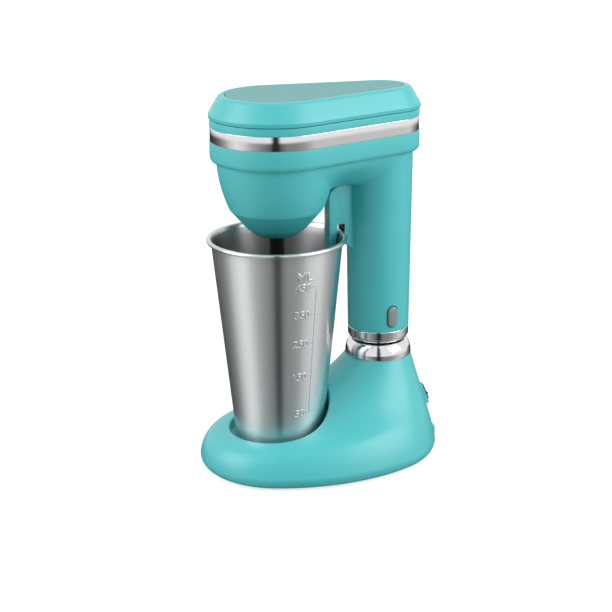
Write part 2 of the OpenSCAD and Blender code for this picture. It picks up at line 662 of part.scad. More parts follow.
// ---- collar under the column, and the spigot that plugs into the neck ----
module column_collar() color(chrome) translate([0, col_y, collar_low_z]) rotate_extrude($fn = 96)
    polygon([[spigot_r + 0.1, 0], [spigot_r + 0.4, 0], [16.8, 0.9], [17.9, 2], [19.2, 3.1], [20.4, 4.2],
        [21.3, 5.3], [column_low_r, 6.6], [column_low_r, collar_h], [column_low_r - head_wall, collar_h],
        [column_low_r - head_wall, collar_h - 4], [spigot_r + 0.1, collar_h - 4]]);
spigot_wall = 2.6;
spigot_top_z = column_z + 2;
module column_spigot() color(black) translate([0, col_y, 0]) difference() {
    union() {
        translate([0, 0, spigot_low_z]) cylinder(r = spigot_r, h = spigot_top_z - spigot_low_z);
        translate([0, 0, column_z - 3.9]) cylinder(r = column_low_r - head_wall - 0.1, h = 3.9);
    }
    translate([0, 0, spigot_low_z + 3]) cylinder(r = spigot_r - spigot_wall, h = spigot_top_z);
    // window for the latch's nose
    translate([0, -keyway_w / 2, latch_z - 4]) cube([spigot_r + 5, keyway_w, 8]);
    for (a = [90, 210, 330]) rotate([0, 0, a]) translate([pin_circle, 0, spigot_low_z - 1])
        cylinder(r = pin_r, h = 6, $fn = 32);
}
module contact_pins() color(brass) for (a = [90, 210, 330])
    translate([0, col_y, 0]) rotate([0, 0, a]) translate([pin_circle, 0, spigot_low_z - pin_len])
        cylinder(r = pin_r, h = pin_len + 5, $fn = 32);

// ---- release button, its latch and spring ----
button_face = column_at(button_z) + button_proud;
button_in = column_low_r - head_wall - 1.2;
button_edge = 0.6;
bar_x = 9.5;
bar_t = 3;
latch_w = 6;
nose_tip = socket_r - 1.3;
module release_button() color(grey_teal) translate([0, col_y, 0]) {
    translate([button_in - 1, 0, button_z])
        stadium(button_w, button_h, button_face - button_in + 1 - button_edge);
    translate([button_face - 2, 0, button_z]) stadium(button_w - 1, button_h - 1, 2);
    translate([button_in - 1.8, 0, button_z]) stadium(button_w + 2.6, button_h + 2.6, 1.8);
}
module latch_slide() color(black) translate([0, col_y, 0]) {
    translate([bar_x, -latch_w / 2, latch_z - 2.5]) cube([bar_t, latch_w, button_z + 8 - latch_z]);
    translate([bar_x, -latch_w / 2, button_z - 3]) cube([button_in - 1.8 - bar_x, latch_w, 6]);
    translate([bar_x, -latch_w / 2, latch_z - 2.5]) cube([nose_tip - bar_x, latch_w, 5]);
}
// a ring every 30 degrees along the coil, lying along X
module button_spring() color(steel) translate([0, col_y, button_z]) {
    steps = 12 * spring_turns;
    len_x = bar_x - spring_back - 2 * spring_wire_r;
    rings = [for (i = [0 : steps]) let (a = 30 * i, x = spring_back + spring_wire_r + len_x * i / steps)
        [for (k = [0 : 5]) let (b = 60 * k)
            [x + spring_wire_r * sin(b), (spring_coil_r + spring_wire_r * cos(b)) * cos(a),
                (spring_coil_r + spring_wire_r * cos(b)) * sin(a)]]];
    skin(rings);
}

// ---- motor ----
can_low_z = 190;
can_top_z = mount_z + 3;
can_wall = 1.2;
mount_t = 2.4;
mount_plate_r = post_circle + 5;
can_nose_r = 8;
arm_start = 12;
can_nose_h = 4;
bearing_r = 5.5;
module motor_can() color(steel) translate([0, cup_y, 0]) difference() {
    union() {
        translate([0, 0, can_low_z]) cylinder(r = motor_r, h = can_top_z - can_low_z);
        translate([0, 0, can_low_z - can_nose_h]) cylinder(r = can_nose_r, h = can_nose_h + 1);
    }
    translate([0, 0, can_low_z + can_wall]) cylinder(r = motor_r - can_wall, h = can_top_z);
    translate([0, 0, can_low_z - can_nose_h + 1]) cylinder(r = bearing_r, h = can_nose_h + 5);
    translate([0, 0, can_low_z - 10]) cylinder(r = motor_shaft_r + 0.6, h = 12);
}
magnet_t = 2.4;
magnet_h = 22;
magnet_slot = 6;
magnet_z = can_low_z + can_wall + 3;
module field_magnets() color([0.25, 0.25, 0.26]) translate([0, cup_y, magnet_z]) difference() {
    cylinder(r = motor_r - can_wall, h = magnet_h);
    translate([0, 0, -1]) cylinder(r = motor_r - can_wall - magnet_t, h = magnet_h + 2);
    translate([-motor_r, -magnet_slot / 2, -1]) cube([2 * motor_r, magnet_slot, magnet_h + 2]);
}
module motor_mount() color(steel) translate([0, cup_y, can_top_z]) difference() {
    union() {
        cylinder(r = motor_r + 3, h = mount_t);
        for (a = post_angles) rotate([0, 0, a + 180]) {
            translate([arm_start, -4, 0]) cube([post_circle - arm_start, 8, mount_t]);
            translate([post_circle, 0, 0]) cylinder(r = 5, h = mount_t);
        }
    }
    translate([0, 0, -1]) cylinder(r = 10, h = mount_t + 2);
    for (a = post_angles) rotate([0, 0, a + 180]) translate([post_circle, 0, -1])
        cylinder(r = screw_r + 0.3, h = mount_t + 2, $fn = 32);
}
module motor_dampers() color([0.15, 0.15, 0.15]) for (a = post_angles)
    translate([0, cup_y, mount_z]) rotate([0, 0, a + 180]) translate([post_circle, 0, 0]) difference() {
        cylinder(r = 4.2, h = can_top_z - mount_z, $fn = 32);
        translate([0, 0, -1]) cylinder(r = screw_r + 0.3, h = 6, $fn = 32);
    }
module motor_screws() color(steel) for (a = post_angles)
    translate([0, cup_y, 0]) rotate([0, 0, a + 180]) translate([post_circle, 0, 0]) {
        translate([0, 0, mount_z - 8])
            cylinder(r = screw_r - 0.02, h = can_top_z + mount_t - mount_z + 8, $fn = 32);
        translate([0, 0, can_top_z + mount_t]) cylinder(r = screw_head_r, h = 1.8, $fn = 32);
    }
cap_h = 8;
module motor_end_cap() color(black) translate([0, cup_y, can_top_z + mount_t]) difference() {
    union() {
        cylinder(r = 14, h = 2);
        cylinder(r = 8, h = cap_h);
    }
    translate([0, 0, -1]) cylinder(r = bearing_r, h = cap_h - 0.5);
    translate([0, 0, -1]) cylinder(r = motor_shaft_r + 0.6, h = cap_h + 3);
}
commutator_r = 6.5;
commutator_z = can_top_z - 8;
brush_w = 5;
// the brush's corners stay just inside the can's round wall
brush_end = sqrt(pow(motor_r - can_wall, 2) - pow(brush_w / 2, 2)) - 2 * run;
module carbon_brushes() color([0.15, 0.15, 0.16]) for (s = [-1, 1])
    translate([s > 0 ? commutator_r + run : -brush_end, cup_y - brush_w / 2, commutator_z + 1.5])
        cube([brush_end - commutator_r - run, brush_w, brush_w]);
module bearing(z, r_in, r_out, h) {
    translate([0, cup_y, z]) difference() {
        cylinder(r = r_out, h = h);
        translate([0, 0, -1]) cylinder(r = r_in, h = h + 2);
    }
}
module upper_bearing() color(brass)
    bearing(can_top_z + mount_t + 2, motor_shaft_r + run, bearing_r, cap_h - 3.5);
module can_bearing() color(brass)
    bearing(can_low_z - can_nose_h + 1, motor_shaft_r + run, bearing_r, can_nose_h + 1);
seat_z = nose_z + 1.5;
module shaft_seal() color([0.1, 0.1, 0.1]) bearing(seat_z, spindle_r + gap, seat_r, 1.6);
module lower_bearing() color(brass) bearing(seat_z + 1.6, spindle_r + run, seat_r, 5.5);

// ---- what turns with the spindle ----
armature_r = motor_r - can_wall - magnet_t - 0.8;
module armature() color(copper) translate([0, cup_y, 0]) difference() {
    union() {
        for (a = [0 : 60 : 300]) rotate([0, 0, a]) translate([0, 0, can_low_z + 5])
            intersection() {
                cylinder(r = armature_r, h = 19);
                union() {
                    translate([0, -2.2, 0]) cube([armature_r + 1, 4.4, 19]);
                    translate([armature_r - 3, -5.6, 0]) cube([4, 11.2, 19]);
                }
            }
        translate([0, 0, can_low_z + 5]) cylinder(r = 7, h = 19);
        translate([0, 0, can_low_z + 23]) cylinder(r = commutator_r, h = commutator_z + 6.8 - can_low_z - 23);
    }
    translate([0, 0, can_low_z]) cylinder(r = motor_shaft_r, h = 60);
}
coupling_z = nose_z + 11;
coupling_h = 6.5;
fan_z = can_top_z + mount_t + cap_h + 1.5;
module motor_shaft() color(steel) translate([0, cup_y, coupling_z + coupling_h / 2])
    cylinder(r = motor_shaft_r, h = fan_z + 6 - coupling_z - coupling_h / 2);
fan_hub_r = 6;
fan_blades = 9;
module cooling_fan() color([0.9, 0.9, 0.88]) translate([0, cup_y, fan_z]) difference() {
    union() {
        cylinder(r = fan_hub_r, h = 6);
        cylinder(r = fan_r, h = 1.2);
        for (i = [0 : fan_blades - 1]) rotate([0, 0, 360 * i / fan_blades])
            translate([fan_hub_r - 1, -0.6, 0]) rotate([0, 0, 12]) cube([fan_r - fan_hub_r - 0.5, 1.2, 6]);
    }
    translate([0, 0, -1]) cylinder(r = motor_shaft_r, h = 8);
}
module shaft_coupling() color(black) translate([0, cup_y, coupling_z]) difference() {
    cylinder(r = 5.2, h = coupling_h);
    translate([0, 0, coupling_h / 2]) cylinder(r = motor_shaft_r, h = coupling_h);
    translate([0, 0, -1]) cylinder(r = spindle_r, h = coupling_h / 2 + 1);
}
agitator_z = recess_floor_z + agitator_rise;
module spindle_shaft() color(chrome) translate([0, cup_y, agitator_z - 1.5])
    cylinder(r = spindle_r, h = coupling_z + coupling_h / 2 - agitator_z + 1.5);
module spindle_collar() color(black) translate([0, cup_y, nose_z - sleeve_len]) difference() {
    union() {
        cylinder(r1 = sleeve_r - 0.6, r2 = sleeve_r, h = 1.5);
        translate([0, 0, 1.5]) cylinder(r = sleeve_r, h = sleeve_len - gap);
    }
    translate([0, 0, -1]) cylinder(r = spindle_r, h = sleeve_len + 4);
}
// crimped disc: six dished waves round a hub
waves = 6;
wave_h = 1.6;
disc_t = 1;
disc_steps = 48;
disc_hub_r = 3.6;
function wave_ring(r, up) = [for (i = [0 : disc_steps - 1]) let (a = 360 * i / disc_steps)
    [r * cos(a), r * sin(a), up + wave_h * sin(waves * a) * (r - disc_hub_r) / (agitator_r - disc_hub_r)]];
module agitator_disc() color(steel) translate([0, cup_y, agitator_z]) difference() {
    union() {
        skin([wave_ring(disc_hub_r, disc_t + 2), wave_ring(9, disc_t + 2), wave_ring(agitator_r, disc_t + 2),
            wave_ring(agitator_r, 2), wave_ring(9, 2), wave_ring(disc_hub_r, 2)]);
        cylinder(r = 5, h = 6);
    }
    translate([0, 0, -1]) cylinder(r = spindle_r, h = 8);
}

// ---- beaker ----
cup_z = recess_floor_z + 0.02;
foot_round = 3;
function wall_r(z) = mix(cup_foot_r, cup_mouth_r, (z - 1) / (cup_h - 1 - 2 * rim_wire_r));
module cup() color(steel) translate([0, cup_y, cup_z]) rotate_extrude($fn = 120)
    polygon(concat(
        [[0, 0]],
        [for (a = [-90 : 30 : 0]) [wall_r(foot_round) - foot_round + foot_round * cos(a),
            foot_round + foot_round * sin(a)]],
        [[wall_r(cup_h - 2 * rim_wire_r), cup_h - 2 * rim_wire_r]],
        [for (a = [-120 : 30 : 150]) [cup_mouth_r + rim_wire_r + rim_wire_r * cos(a),
            cup_h - rim_wire_r + rim_wire_r * sin(a)]],
        [[cup_mouth_r - cup_wall, cup_h - rim_wire_r]],
        [for (a = [0 : -30 : -90]) [wall_r(foot_round) - foot_round + (foot_round - cup_wall) * cos(a),
            foot_round + (foot_round - cup_wall) * sin(a)]],
        [[0, cup_wall]]));

base_shell();
base_plate();
rubber_feet();
base_screws();
neck_ring();
neck_socket();
contact_block();
rocker_bezel();
switch_body();
cord_inlet();
rocker();
motor_housing();
trim_band();
top_cover();
top_plate();
cup_hook();
column_collar();
column_spigot();
contact_pins();
motor_can();
field_magnets();
motor_mount();
motor_dampers();
motor_screws();
motor_end_cap();
carbon_brushes();
upper_bearing();
can_bearing();
lower_bearing();
shaft_seal();
cover_screws();
armature();
motor_shaft();
cooling_fan();
shaft_coupling();
spindle_shaft();
spindle_collar();
agitator_disc();
release_button();
latch_slide();
button_spring();
cup();
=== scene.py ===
import json
import math

import bmesh
import bpy
import numpy as np
from mathutils import Matrix, Vector


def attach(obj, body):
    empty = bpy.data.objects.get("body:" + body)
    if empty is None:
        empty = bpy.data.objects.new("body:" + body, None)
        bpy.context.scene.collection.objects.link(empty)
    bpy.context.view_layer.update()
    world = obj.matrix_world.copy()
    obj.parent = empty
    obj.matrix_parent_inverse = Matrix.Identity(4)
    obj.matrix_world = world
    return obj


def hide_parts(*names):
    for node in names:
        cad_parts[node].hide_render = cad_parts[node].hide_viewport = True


# Milkshake mixer: a motor head on a column, over a steel beaker on a moulded stand.
# Lengths below are in millimetres, as in the part's source. Meshes are made in metres.

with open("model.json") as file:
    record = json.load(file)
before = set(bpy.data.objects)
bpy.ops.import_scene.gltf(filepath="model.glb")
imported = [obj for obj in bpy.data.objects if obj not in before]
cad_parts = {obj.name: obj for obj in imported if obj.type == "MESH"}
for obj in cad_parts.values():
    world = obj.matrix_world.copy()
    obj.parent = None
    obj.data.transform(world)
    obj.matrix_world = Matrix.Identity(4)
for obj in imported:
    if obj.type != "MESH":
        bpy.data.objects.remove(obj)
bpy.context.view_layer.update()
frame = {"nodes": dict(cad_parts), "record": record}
mm = 0.001

# ---- driving dimensions, as in the part's source but for stand_deck_z, which is 26 there ----
axis_gap = 78.5
neck_z, column_z, waist_z = 71, 92, 220
cup_foot_r, cup_mouth_r, cup_h, cup_wall, rim_wire_r = 30.8, 45.3, 146.6, 0.6, 1.55
recess_floor_z, recess_gap = 20, 4.8
stand_front_r, stand_rear_r, stand_rear_reach, stand_side_r = 56.7, 62, 39.5, 135
stand_edge_z, stand_deck_z, stand_roll, neck_r = 8.6, 27.2, 6.5, 23.6
stand_wall, shell_lift = 2.6, 1.2
waist_front_r, waist_rear_r, bowl_r, crease_z, crease_r, nose_z = 44.5, 27.8, 40.2, 186.5, 32, 168
band_rise, band_h, rim_h = 14.3, 10, 5.1
cover_h, cover_slope_in, cover_margin = 15, 6.6, 5.1
column_low_r, column_top_r, collar_h = 21.8, 23.45, 12
hook_w, hook_front, hook_top_z, hook_low_z = 8.3, 38, 198, 153
button_w, button_h, button_proud, button_rise = 7.5, 15.5, 1.9, 11.6
rocker_w, rocker_h, rocker_z, rocker_lean, rocker_throw, rocker_set_in = 15, 10, 37, 23, 16, 4
sleeve_r, sleeve_len, spindle_r = 5.1, 24, 3
agitator_z, agitator_r = 31, 14
pad_proud = 1.8

# ---- places that follow from them ----
stand_len = stand_front_r + axis_gap + stand_rear_reach + pad_proud
cup_y = stand_front_r - stand_len / 2
col_y = cup_y + axis_gap
band_z = waist_z + band_rise
rim_z = band_z + band_h
housing_top_z = rim_z + rim_h
part_line = 0.4
cover_z = housing_top_z + part_line
cover_top_z = cover_z + cover_h
recess_r = cup_foot_r + recess_gap
cup_z = recess_floor_z + 0.02
button_z = column_z + button_rise
cup_axis, column_axis = (0, cup_y), (0, col_y)
notch_back = cup_mouth_r + 2 * rim_wire_r + 1.4
notch_top = recess_floor_z + cup_h + 3.8


# ================= node groups =================

def group(name, inputs, outputs):
    """A shader node group with float inputs {name: value} and outputs {name: kind}."""
    tree = bpy.data.node_groups.new(name, "ShaderNodeTree")
    for label, value in inputs.items():
        socket = tree.interface.new_socket(label, in_out="INPUT", socket_type="NodeSocketFloat")
        socket.default_value = value
    for label, kind in outputs.items():
        tree.interface.new_socket(label, in_out="OUTPUT", socket_type=kind)
    return tree, tree.nodes.new("NodeGroupInput"), tree.nodes.new("NodeGroupOutput")


def node(tree, kind, values=None, **settings):
    made = tree.nodes.new(kind)
    for label, value in settings.items():
        setattr(made, label, value)
    for label, value in (values or {}).items():
        made.inputs[label].default_value = value
    return made


def wire(tree, *pairs):
    for source, target in pairs:
        tree.links.new(source, target)


def noise(tree, place, scale, detail=3.0, rough=0.55):
    made = node(tree, "ShaderNodeTexNoise", {"Scale": scale, "Detail": detail, "Roughness": rough})
    wire(tree, (place, made.inputs["Vector"]))
    return made.outputs["Fac"]


def spread(tree, value, low, high):
    """Maps a 0 to 1 value on to the range from low to high."""
    made = node(tree, "ShaderNodeMapRange", {"From Min": 0.3, "From Max": 0.7, "To Min": low, "To Max": high})
    wire(tree, (value, made.inputs["Value"]))
    return made.outputs["Result"]


def math_node(tree, operation, a, b=None):
    made = node(tree, "ShaderNodeMath", operation=operation)
    for socket, value in zip(made.inputs, (a, b)):
        if isinstance(value, (int, float)):
            socket.default_value = value
        elif value is not None:
            wire(tree, (value, socket))
    return made.outputs["Value"]


def make_moulded_grain():
    """Fine spark-eroded grain of a moulding, with the slow shade of a thick wall and a few dull patches."""
    tree, given, result = group(
        "moulded_grain", {"Grain Size": 2600.0, "Depth": 0.05, "Shade": 0.03, "Roughness": 0.4},
        {"Tint": "NodeSocketFloat", "Roughness": "NodeSocketFloat", "Normal": "NodeSocketVector"})
    place = node(tree, "ShaderNodeTexCoord").outputs["Object"]
    grain = node(tree, "ShaderNodeTexNoise", {"Detail": 2.0, "Roughness": 0.6})
    wire(tree, (place, grain.inputs["Vector"]), (given.outputs["Grain Size"], grain.inputs["Scale"]))
    bump = node(tree, "ShaderNodeBump", {"Distance": 0.0002})
    wire(tree, (grain.outputs["Fac"], bump.inputs["Height"]),
         (given.outputs["Depth"], bump.inputs["Strength"]),
         (bump.outputs["Normal"], result.inputs["Normal"]))
    slow = math_node(tree, "SUBTRACT", noise(tree, place, 9.0, 2.0), 0.5)
    fine = math_node(tree, "MULTIPLY", math_node(tree, "SUBTRACT", grain.outputs["Fac"], 0.5), 0.35)
    tint = math_node(tree, "MULTIPLY", math_node(tree, "ADD", slow, fine), given.outputs["Shade"])
    wire(tree, (math_node(tree, "ADD", tint, 1.0), result.inputs["Tint"]))
    dull = math_node(tree, "MULTIPLY", math_node(tree, "SUBTRACT", noise(tree, place, 55.0, 4.0), 0.5), 0.12)
    wire(tree, (math_node(tree, "ADD", dull, given.outputs["Roughness"]), result.inputs["Roughness"]))
    return tree


def make_brushed_lines():
    """Fine lines of a brush that ran round an upright axis, or along a straight one."""
    tree, given, result = group(
        "brushed_lines", {"Across": 5200.0, "Along": 40.0, "Depth": 0.1, "Roughness": 0.25, "Contrast": 0.16},
        {"Shade": "NodeSocketFloat", "Roughness": "NodeSocketFloat", "Normal": "NodeSocketVector"})
    place = node(tree, "ShaderNodeTexCoord").outputs["Object"]
    parts = node(tree, "ShaderNodeSeparateXYZ")
    wire(tree, (place, parts.inputs["Vector"]))
    joined = node(tree, "ShaderNodeCombineXYZ")
    for axis, stretch in (("X", "Along"), ("Y", "Along"), ("Z", "Across")):
        scaled = math_node(tree, "MULTIPLY", parts.outputs[axis], given.outputs[stretch])
        wire(tree, (scaled, joined.inputs[axis]))
    lines = noise(tree, joined.outputs["Vector"], 1.0, 3.0, 0.7)
    bump = node(tree, "ShaderNodeBump", {"Distance": 0.00008})
    wire(tree, (lines, bump.inputs["Height"]), (given.outputs["Depth"], bump.inputs["Strength"]),
         (bump.outputs["Normal"], result.inputs["Normal"]))
    swing = math_node(tree, "MULTIPLY", math_node(tree, "SUBTRACT", lines, 0.5), given.outputs["Contrast"])
    wire(tree, (math_node(tree, "ADD", swing, 1.0), result.inputs["Shade"]))
    rough = math_node(tree, "ADD", math_node(tree, "MULTIPLY", swing, -0.6), given.outputs["Roughness"])
    wire(tree, (rough, result.inputs["Roughness"]))
    return tree


def make_finger_haze():
    """Faint wiped haze on polished metal: a small rise of roughness in soft patches."""
    tree, given, result = group(
        "finger_haze", {"Roughness": 0.06, "Haze": 0.05},
        {"Roughness": "NodeSocketFloat", "Normal": "NodeSocketVector"})
    place = node(tree, "ShaderNodeTexCoord").outputs["Object"]
    haze = spread(tree, noise(tree, place, 70.0, 5.0, 0.6), 0.0, 1.0)
    rough = math_node(tree, "ADD", math_node(tree, "MULTIPLY", haze, given.outputs["Haze"]),
                      given.outputs["Roughness"])
    wire(tree, (rough, result.inputs["Roughness"]))
    bump = node(tree, "ShaderNodeBump", {"Strength": 0.04, "Distance": 0.0002})
    wire(tree, (noise(tree, place, 160.0, 2.0), bump.inputs["Height"]),
         (bump.outputs["Normal"], result.inputs["Normal"]))
    return tree


moulded_grain = make_moulded_grain()
brushed_lines = make_brushed_lines()
finger_haze = make_finger_haze()


# ================= materials =================

def srgb(r, g, b):
    """A colour as read from a screen, 0 to 255, in Blender's linear values."""
    def linear(c):
        c = c / 255
        return c / 12.92 if c <= 0.04045 else ((c + 0.055) / 1.055) ** 2.4
    return (linear(r), linear(g), linear(b), 1.0)


def grey(tone):
    return (tone, tone, tone, 1.0)


def new_material(name, **constants):
    material = bpy.data.materials.new(name)
    material.use_nodes = True
    tree = material.node_tree
    shader = tree.nodes["Principled BSDF"]
    for label, value in constants.items():
        shader.inputs[label.replace("_", " ").title().replace("Ior", "IOR")].default_value = value
    return material, tree, shader


def place_group(tree, made, **values):
    placed = tree.nodes.new("ShaderNodeGroup")
    placed.node_tree = made
    for label, value in values.items():
        placed.inputs[label.replace("_", " ").title()].default_value = value
    return placed


def tinted(tree, colour, factor, target):
    """Multiplies a plain colour by a factor that changes over the surface."""
    scaled = node(tree, "ShaderNodeVectorMath", operation="SCALE")
    scaled.inputs[0].default_value = colour[:3]
    wire(tree, (factor, scaled.inputs["Scale"]), (scaled.outputs["Vector"], target))


def moulded(name, colour, roughness, grain_size=2600.0, depth=0.05, shade=0.03, **constants):
    material, tree, shader = new_material(name, **constants)
    grain = place_group(tree, moulded_grain, grain_size=grain_size, depth=depth, shade=shade,
                        roughness=roughness)
    tinted(tree, colour, grain.outputs["Tint"], shader.inputs["Base Color"])
    wire(tree, (grain.outputs["Roughness"], shader.inputs["Roughness"]),
         (grain.outputs["Normal"], shader.inputs["Normal"]))
    return material


def brushed(name, colour, roughness, across=2400.0, along=26.0, depth=0.2, contrast=0.16, **constants):
    material, tree, shader = new_material(name, metallic=1.0, **constants)
    lines = place_group(tree, brushed_lines, across=across, along=along, depth=depth,
                        roughness=roughness, contrast=contrast)
    tinted(tree, colour, lines.outputs["Shade"], shader.inputs["Base Color"])
    wire(tree, (lines.outputs["Roughness"], shader.inputs["Roughness"]),
         (lines.outputs["Normal"], shader.inputs["Normal"]))
    return material


def polished(name, colour, roughness, haze=0.05, **constants):
    material, tree, shader = new_material(name, metallic=1.0, base_color=colour, **constants)
    wiped = place_group(tree, finger_haze, roughness=roughness, haze=haze)
    wire(tree, (wiped.outputs["Roughness"], shader.inputs["Roughness"]),
         (wiped.outputs["Normal"], shader.inputs["Normal"]))
    return material


turquoise = moulded("satin_turquoise", srgb(72, 194, 197), 0.42, coat_weight=0.5, coat_roughness=0.36)
grey_teal = moulded("matt_grey_teal", srgb(112, 172, 171), 0.6, grain_size=1500.0, depth=0.12, shade=0.05)
button_grey = moulded("matt_button_grey", srgb(128, 148, 146), 0.4, grain_size=3000.0, depth=0.08,
                      coat_weight=0.4)
black_gloss = moulded("black_gloss", srgb(14, 15, 16), 0.26, depth=0.02)
black_matt = moulded("black_matt", srgb(24, 25, 27), 0.5, grain_size=1800.0, depth=0.12)
rubber = moulded("black_rubber", srgb(26, 26, 27), 0.75, grain_size=900.0, depth=0.2)
fan_white = moulded("natural_white", srgb(222, 222, 216), 0.5)
carbon = moulded("carbon", srgb(32, 32, 34), 0.6, grain_size=1200.0, depth=0.25)
chrome = polished("bright_chrome", (0.80, 0.81, 0.82, 1.0), 0.07)
band_metal = brushed("band_metal", grey(0.82), 0.08, across=3600.0, along=30.0, depth=0.02,
                     contrast=0.04)
beaker_steel = brushed("beaker_steel", (0.68, 0.695, 0.69, 1.0), 0.29, across=5200.0, along=40.0, depth=0.05,
                       contrast=0.16, anisotropic=0.88, anisotropic_rotation=0.25)
# Painted shade: the beaker's inside wall gets a darker copy of its steel, standing in for the shade inside
# the beaker.
shaded_inner_steel = brushed("beaker_inside_steel_painted_shade", (0.40, 0.41, 0.405, 1.0), 0.34, across=3600.0, along=40.0,
                      depth=0.12, contrast=0.3, anisotropic=0.6, anisotropic_rotation=0.25)
# Steel of the pressed marks. Its lighter colour than the beaker's is a painted highlight that makes the
# raised figures stand out; its higher roughness and lack of anisotropy are its finish.
lit_mark_steel = brushed("pressed_figures_painted_highlight", (0.78, 0.79, 0.785, 1.0), 0.34, across=5200.0, along=40.0,
                     depth=0.03)
plain_steel = brushed("plain_steel", grey(0.62), 0.28, along=300.0, depth=0.1, contrast=0.1)
brass = polished("brass", srgb(205, 170, 95), 0.22)
copper = brushed("copper_winding", srgb(186, 110, 62), 0.35, across=2000.0, along=40.0, depth=0.5,
                 contrast=0.4)
magnet_grey = moulded("magnet_grey", srgb(58, 58, 62), 0.6, grain_size=1500.0, depth=0.2)

slot_material = {
    "turquoise": turquoise, "inlay": grey_teal, "button": button_grey, "chrome": chrome,
    "beaker": beaker_steel, "steel": plain_steel, "black": black_gloss, "black_plastic": black_matt,
    "rubber": rubber, "brass": brass, "winding": copper, "magnet": magnet_grey, "carbon": carbon,
    "fan": fan_white}


def dress_cad_nodes():
    """Gives every CAD node the material of its slot in the record."""
    slots = {part["node"]: part["material_slot"] for part in frame["record"]["subparts"]}
    for name, item in frame["nodes"].items():
        item.data.materials.clear()
        item.data.materials.append(slot_material[slots[name]])


# ================= mesh helpers =================

same_point = 0.002


def linked(name, data):
    """A new object in the scene with this data."""
    made = bpy.data.objects.new(name, data)
    bpy.context.scene.collection.objects.link(made)
    return made


def solid(name, points, faces):
    """An object from points in millimetres, with doubled points joined and its faces turned outwards."""
    mesh = bpy.data.meshes.new(name)
    mesh.from_pydata([(p[0] * mm, p[1] * mm, p[2] * mm) for p in points], [], faces)
    shell = bmesh.new()
    shell.from_mesh(mesh)
    bmesh.ops.remove_doubles(shell, verts=shell.verts, dist=same_point * mm)
    bmesh.ops.recalc_face_normals(shell, faces=shell.faces)
    shell.to_mesh(mesh)
    shell.free()
    return linked(name, mesh)


def piece(name, body, slot, points, faces, nodes=(), sharp=40, material=None):
    """A piece that rides on a body, smooth but for edges sharper than an angle."""
    made = solid(name, points, faces)
    made.data.materials.append(material or slot_material[slot])
    smooth(made.data, sharp)
    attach(made, body)
    if nodes:
        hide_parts(*nodes)
    return made


def smooth(mesh, sharp):
    mesh.shade_smooth()
    mesh.set_sharp_from_angle(angle=math.radians(sharp))


def cutter(points, faces):
    """A closed mesh that is only used to cut others."""
    return solid("cutter", points, faces)


def evaluated_mesh(item):
    """The item's mesh with its modifiers applied."""
    bpy.context.view_layer.update()
    return bpy.data.meshes.new_from_object(item.evaluated_get(bpy.context.evaluated_depsgraph_get()))


def settle(target, sharp):
    """Applies the target's modifiers for good."""
    result = evaluated_mesh(target)
    target.modifiers.clear()
    target.data = result
    smooth(result, sharp)


def cut(target, *tools, sharp=40):
    """Cuts the tools out of the target for good, and deletes them."""
    for tool in tools:
        change = target.modifiers.new("cut", "BOOLEAN")
        change.object = tool
        change.operation = "DIFFERENCE"
        change.solver = "EXACT"
    settle(target, sharp)
    for tool in tools:
        bpy.data.objects.remove(tool)


def bevel(target, width, angle=35, segments=3):
    """Rounds the piece's sharp edges for good."""
    change = target.modifiers.new("rounding", "BEVEL")
    change.width = width * mm
    change.segments = segments
    change.limit_method = "ANGLE"
    change.angle_limit = math.radians(angle)
    settle(target, 50)


def skin(rings, caps=(True, True)):
    """Points and faces over rings that all have the same number of points."""
    n = len(rings[0])
    points = [tuple(p) for ring in rings for p in ring]
    faces = [(j * n + i, j * n + (i + 1) % n, (j + 1) * n + (i + 1) % n, (j + 1) * n + i)
             for j in range(len(rings) - 1) for i in range(n)]
    if caps[0]:
        faces.append(tuple(range(n)))
    if caps[1]:
        faces.append(tuple((len(rings) - 1) * n + i for i in range(n)))
    return points, faces


def join_all(*groups):
    """One set of points and faces from several."""
    points, faces = [], []
    for more, more_faces in groups:
        faces += [tuple(i + len(points) for i in face) for face in more_faces]
        points += more
    return points, faces


def circle(r, z, centre=(0, 0), steps=192):
    turn = np.radians(np.arange(steps) * 360 / steps)
    return np.stack([centre[0] + r * np.cos(turn), centre[1] + r * np.sin(turn), np.full(steps, float(z))], 1)


def turned(profile, centre=(0, 0), steps=192, caps=(True, True)):
    """A profile of (radius, height) points turned about an upright axis."""
    return skin([circle(max(r, 0.01), z, centre, steps) for r, z in profile], caps)


def rounded(corners, steps=5):
    """A line through corners (x, y, radius) with each corner turned into an arc."""
    line = []
    for i, corner in enumerate(corners):
        here, r = np.array(corner[:2], float), (corner[2] if len(corner) > 2 else 0)
        if r == 0 or i in (0, len(corners) - 1):
            line.append(tuple(here))
            continue
        before, after = np.array(corners[i - 1][:2], float), np.array(corners[i + 1][:2], float)
        u, v = (before - here) / np.linalg.norm(before - here), (after - here) / np.linalg.norm(after - here)
        half = math.acos(max(-1, min(1, float(u @ v)))) / 2
        reach = r / math.tan(half)
        centre = here + (u + v) / np.linalg.norm(u + v) * r / math.sin(half)
        start, end = here + u * reach - centre, here + v * reach - centre
        sweep = math.pi - 2 * half
        for k in range(steps + 1):
            t = k / steps
            share = math.sin((1 - t) * sweep), math.sin(t * sweep)
            line.append(tuple(centre + (share[0] * start + share[1] * end) / math.sin(sweep)))
    return line


def prism(outline, low, high):
    """An outline of (x, y) points raised from low to high."""
    return skin([[(x, y, low) for x, y in outline], [(x, y, high) for x, y in outline]])


def moved(points, matrix):
    return [tuple(matrix @ Vector(p)) for p in points]


def mix(a, b, t):
    return a + (b - a) * t


# ================= stand =================

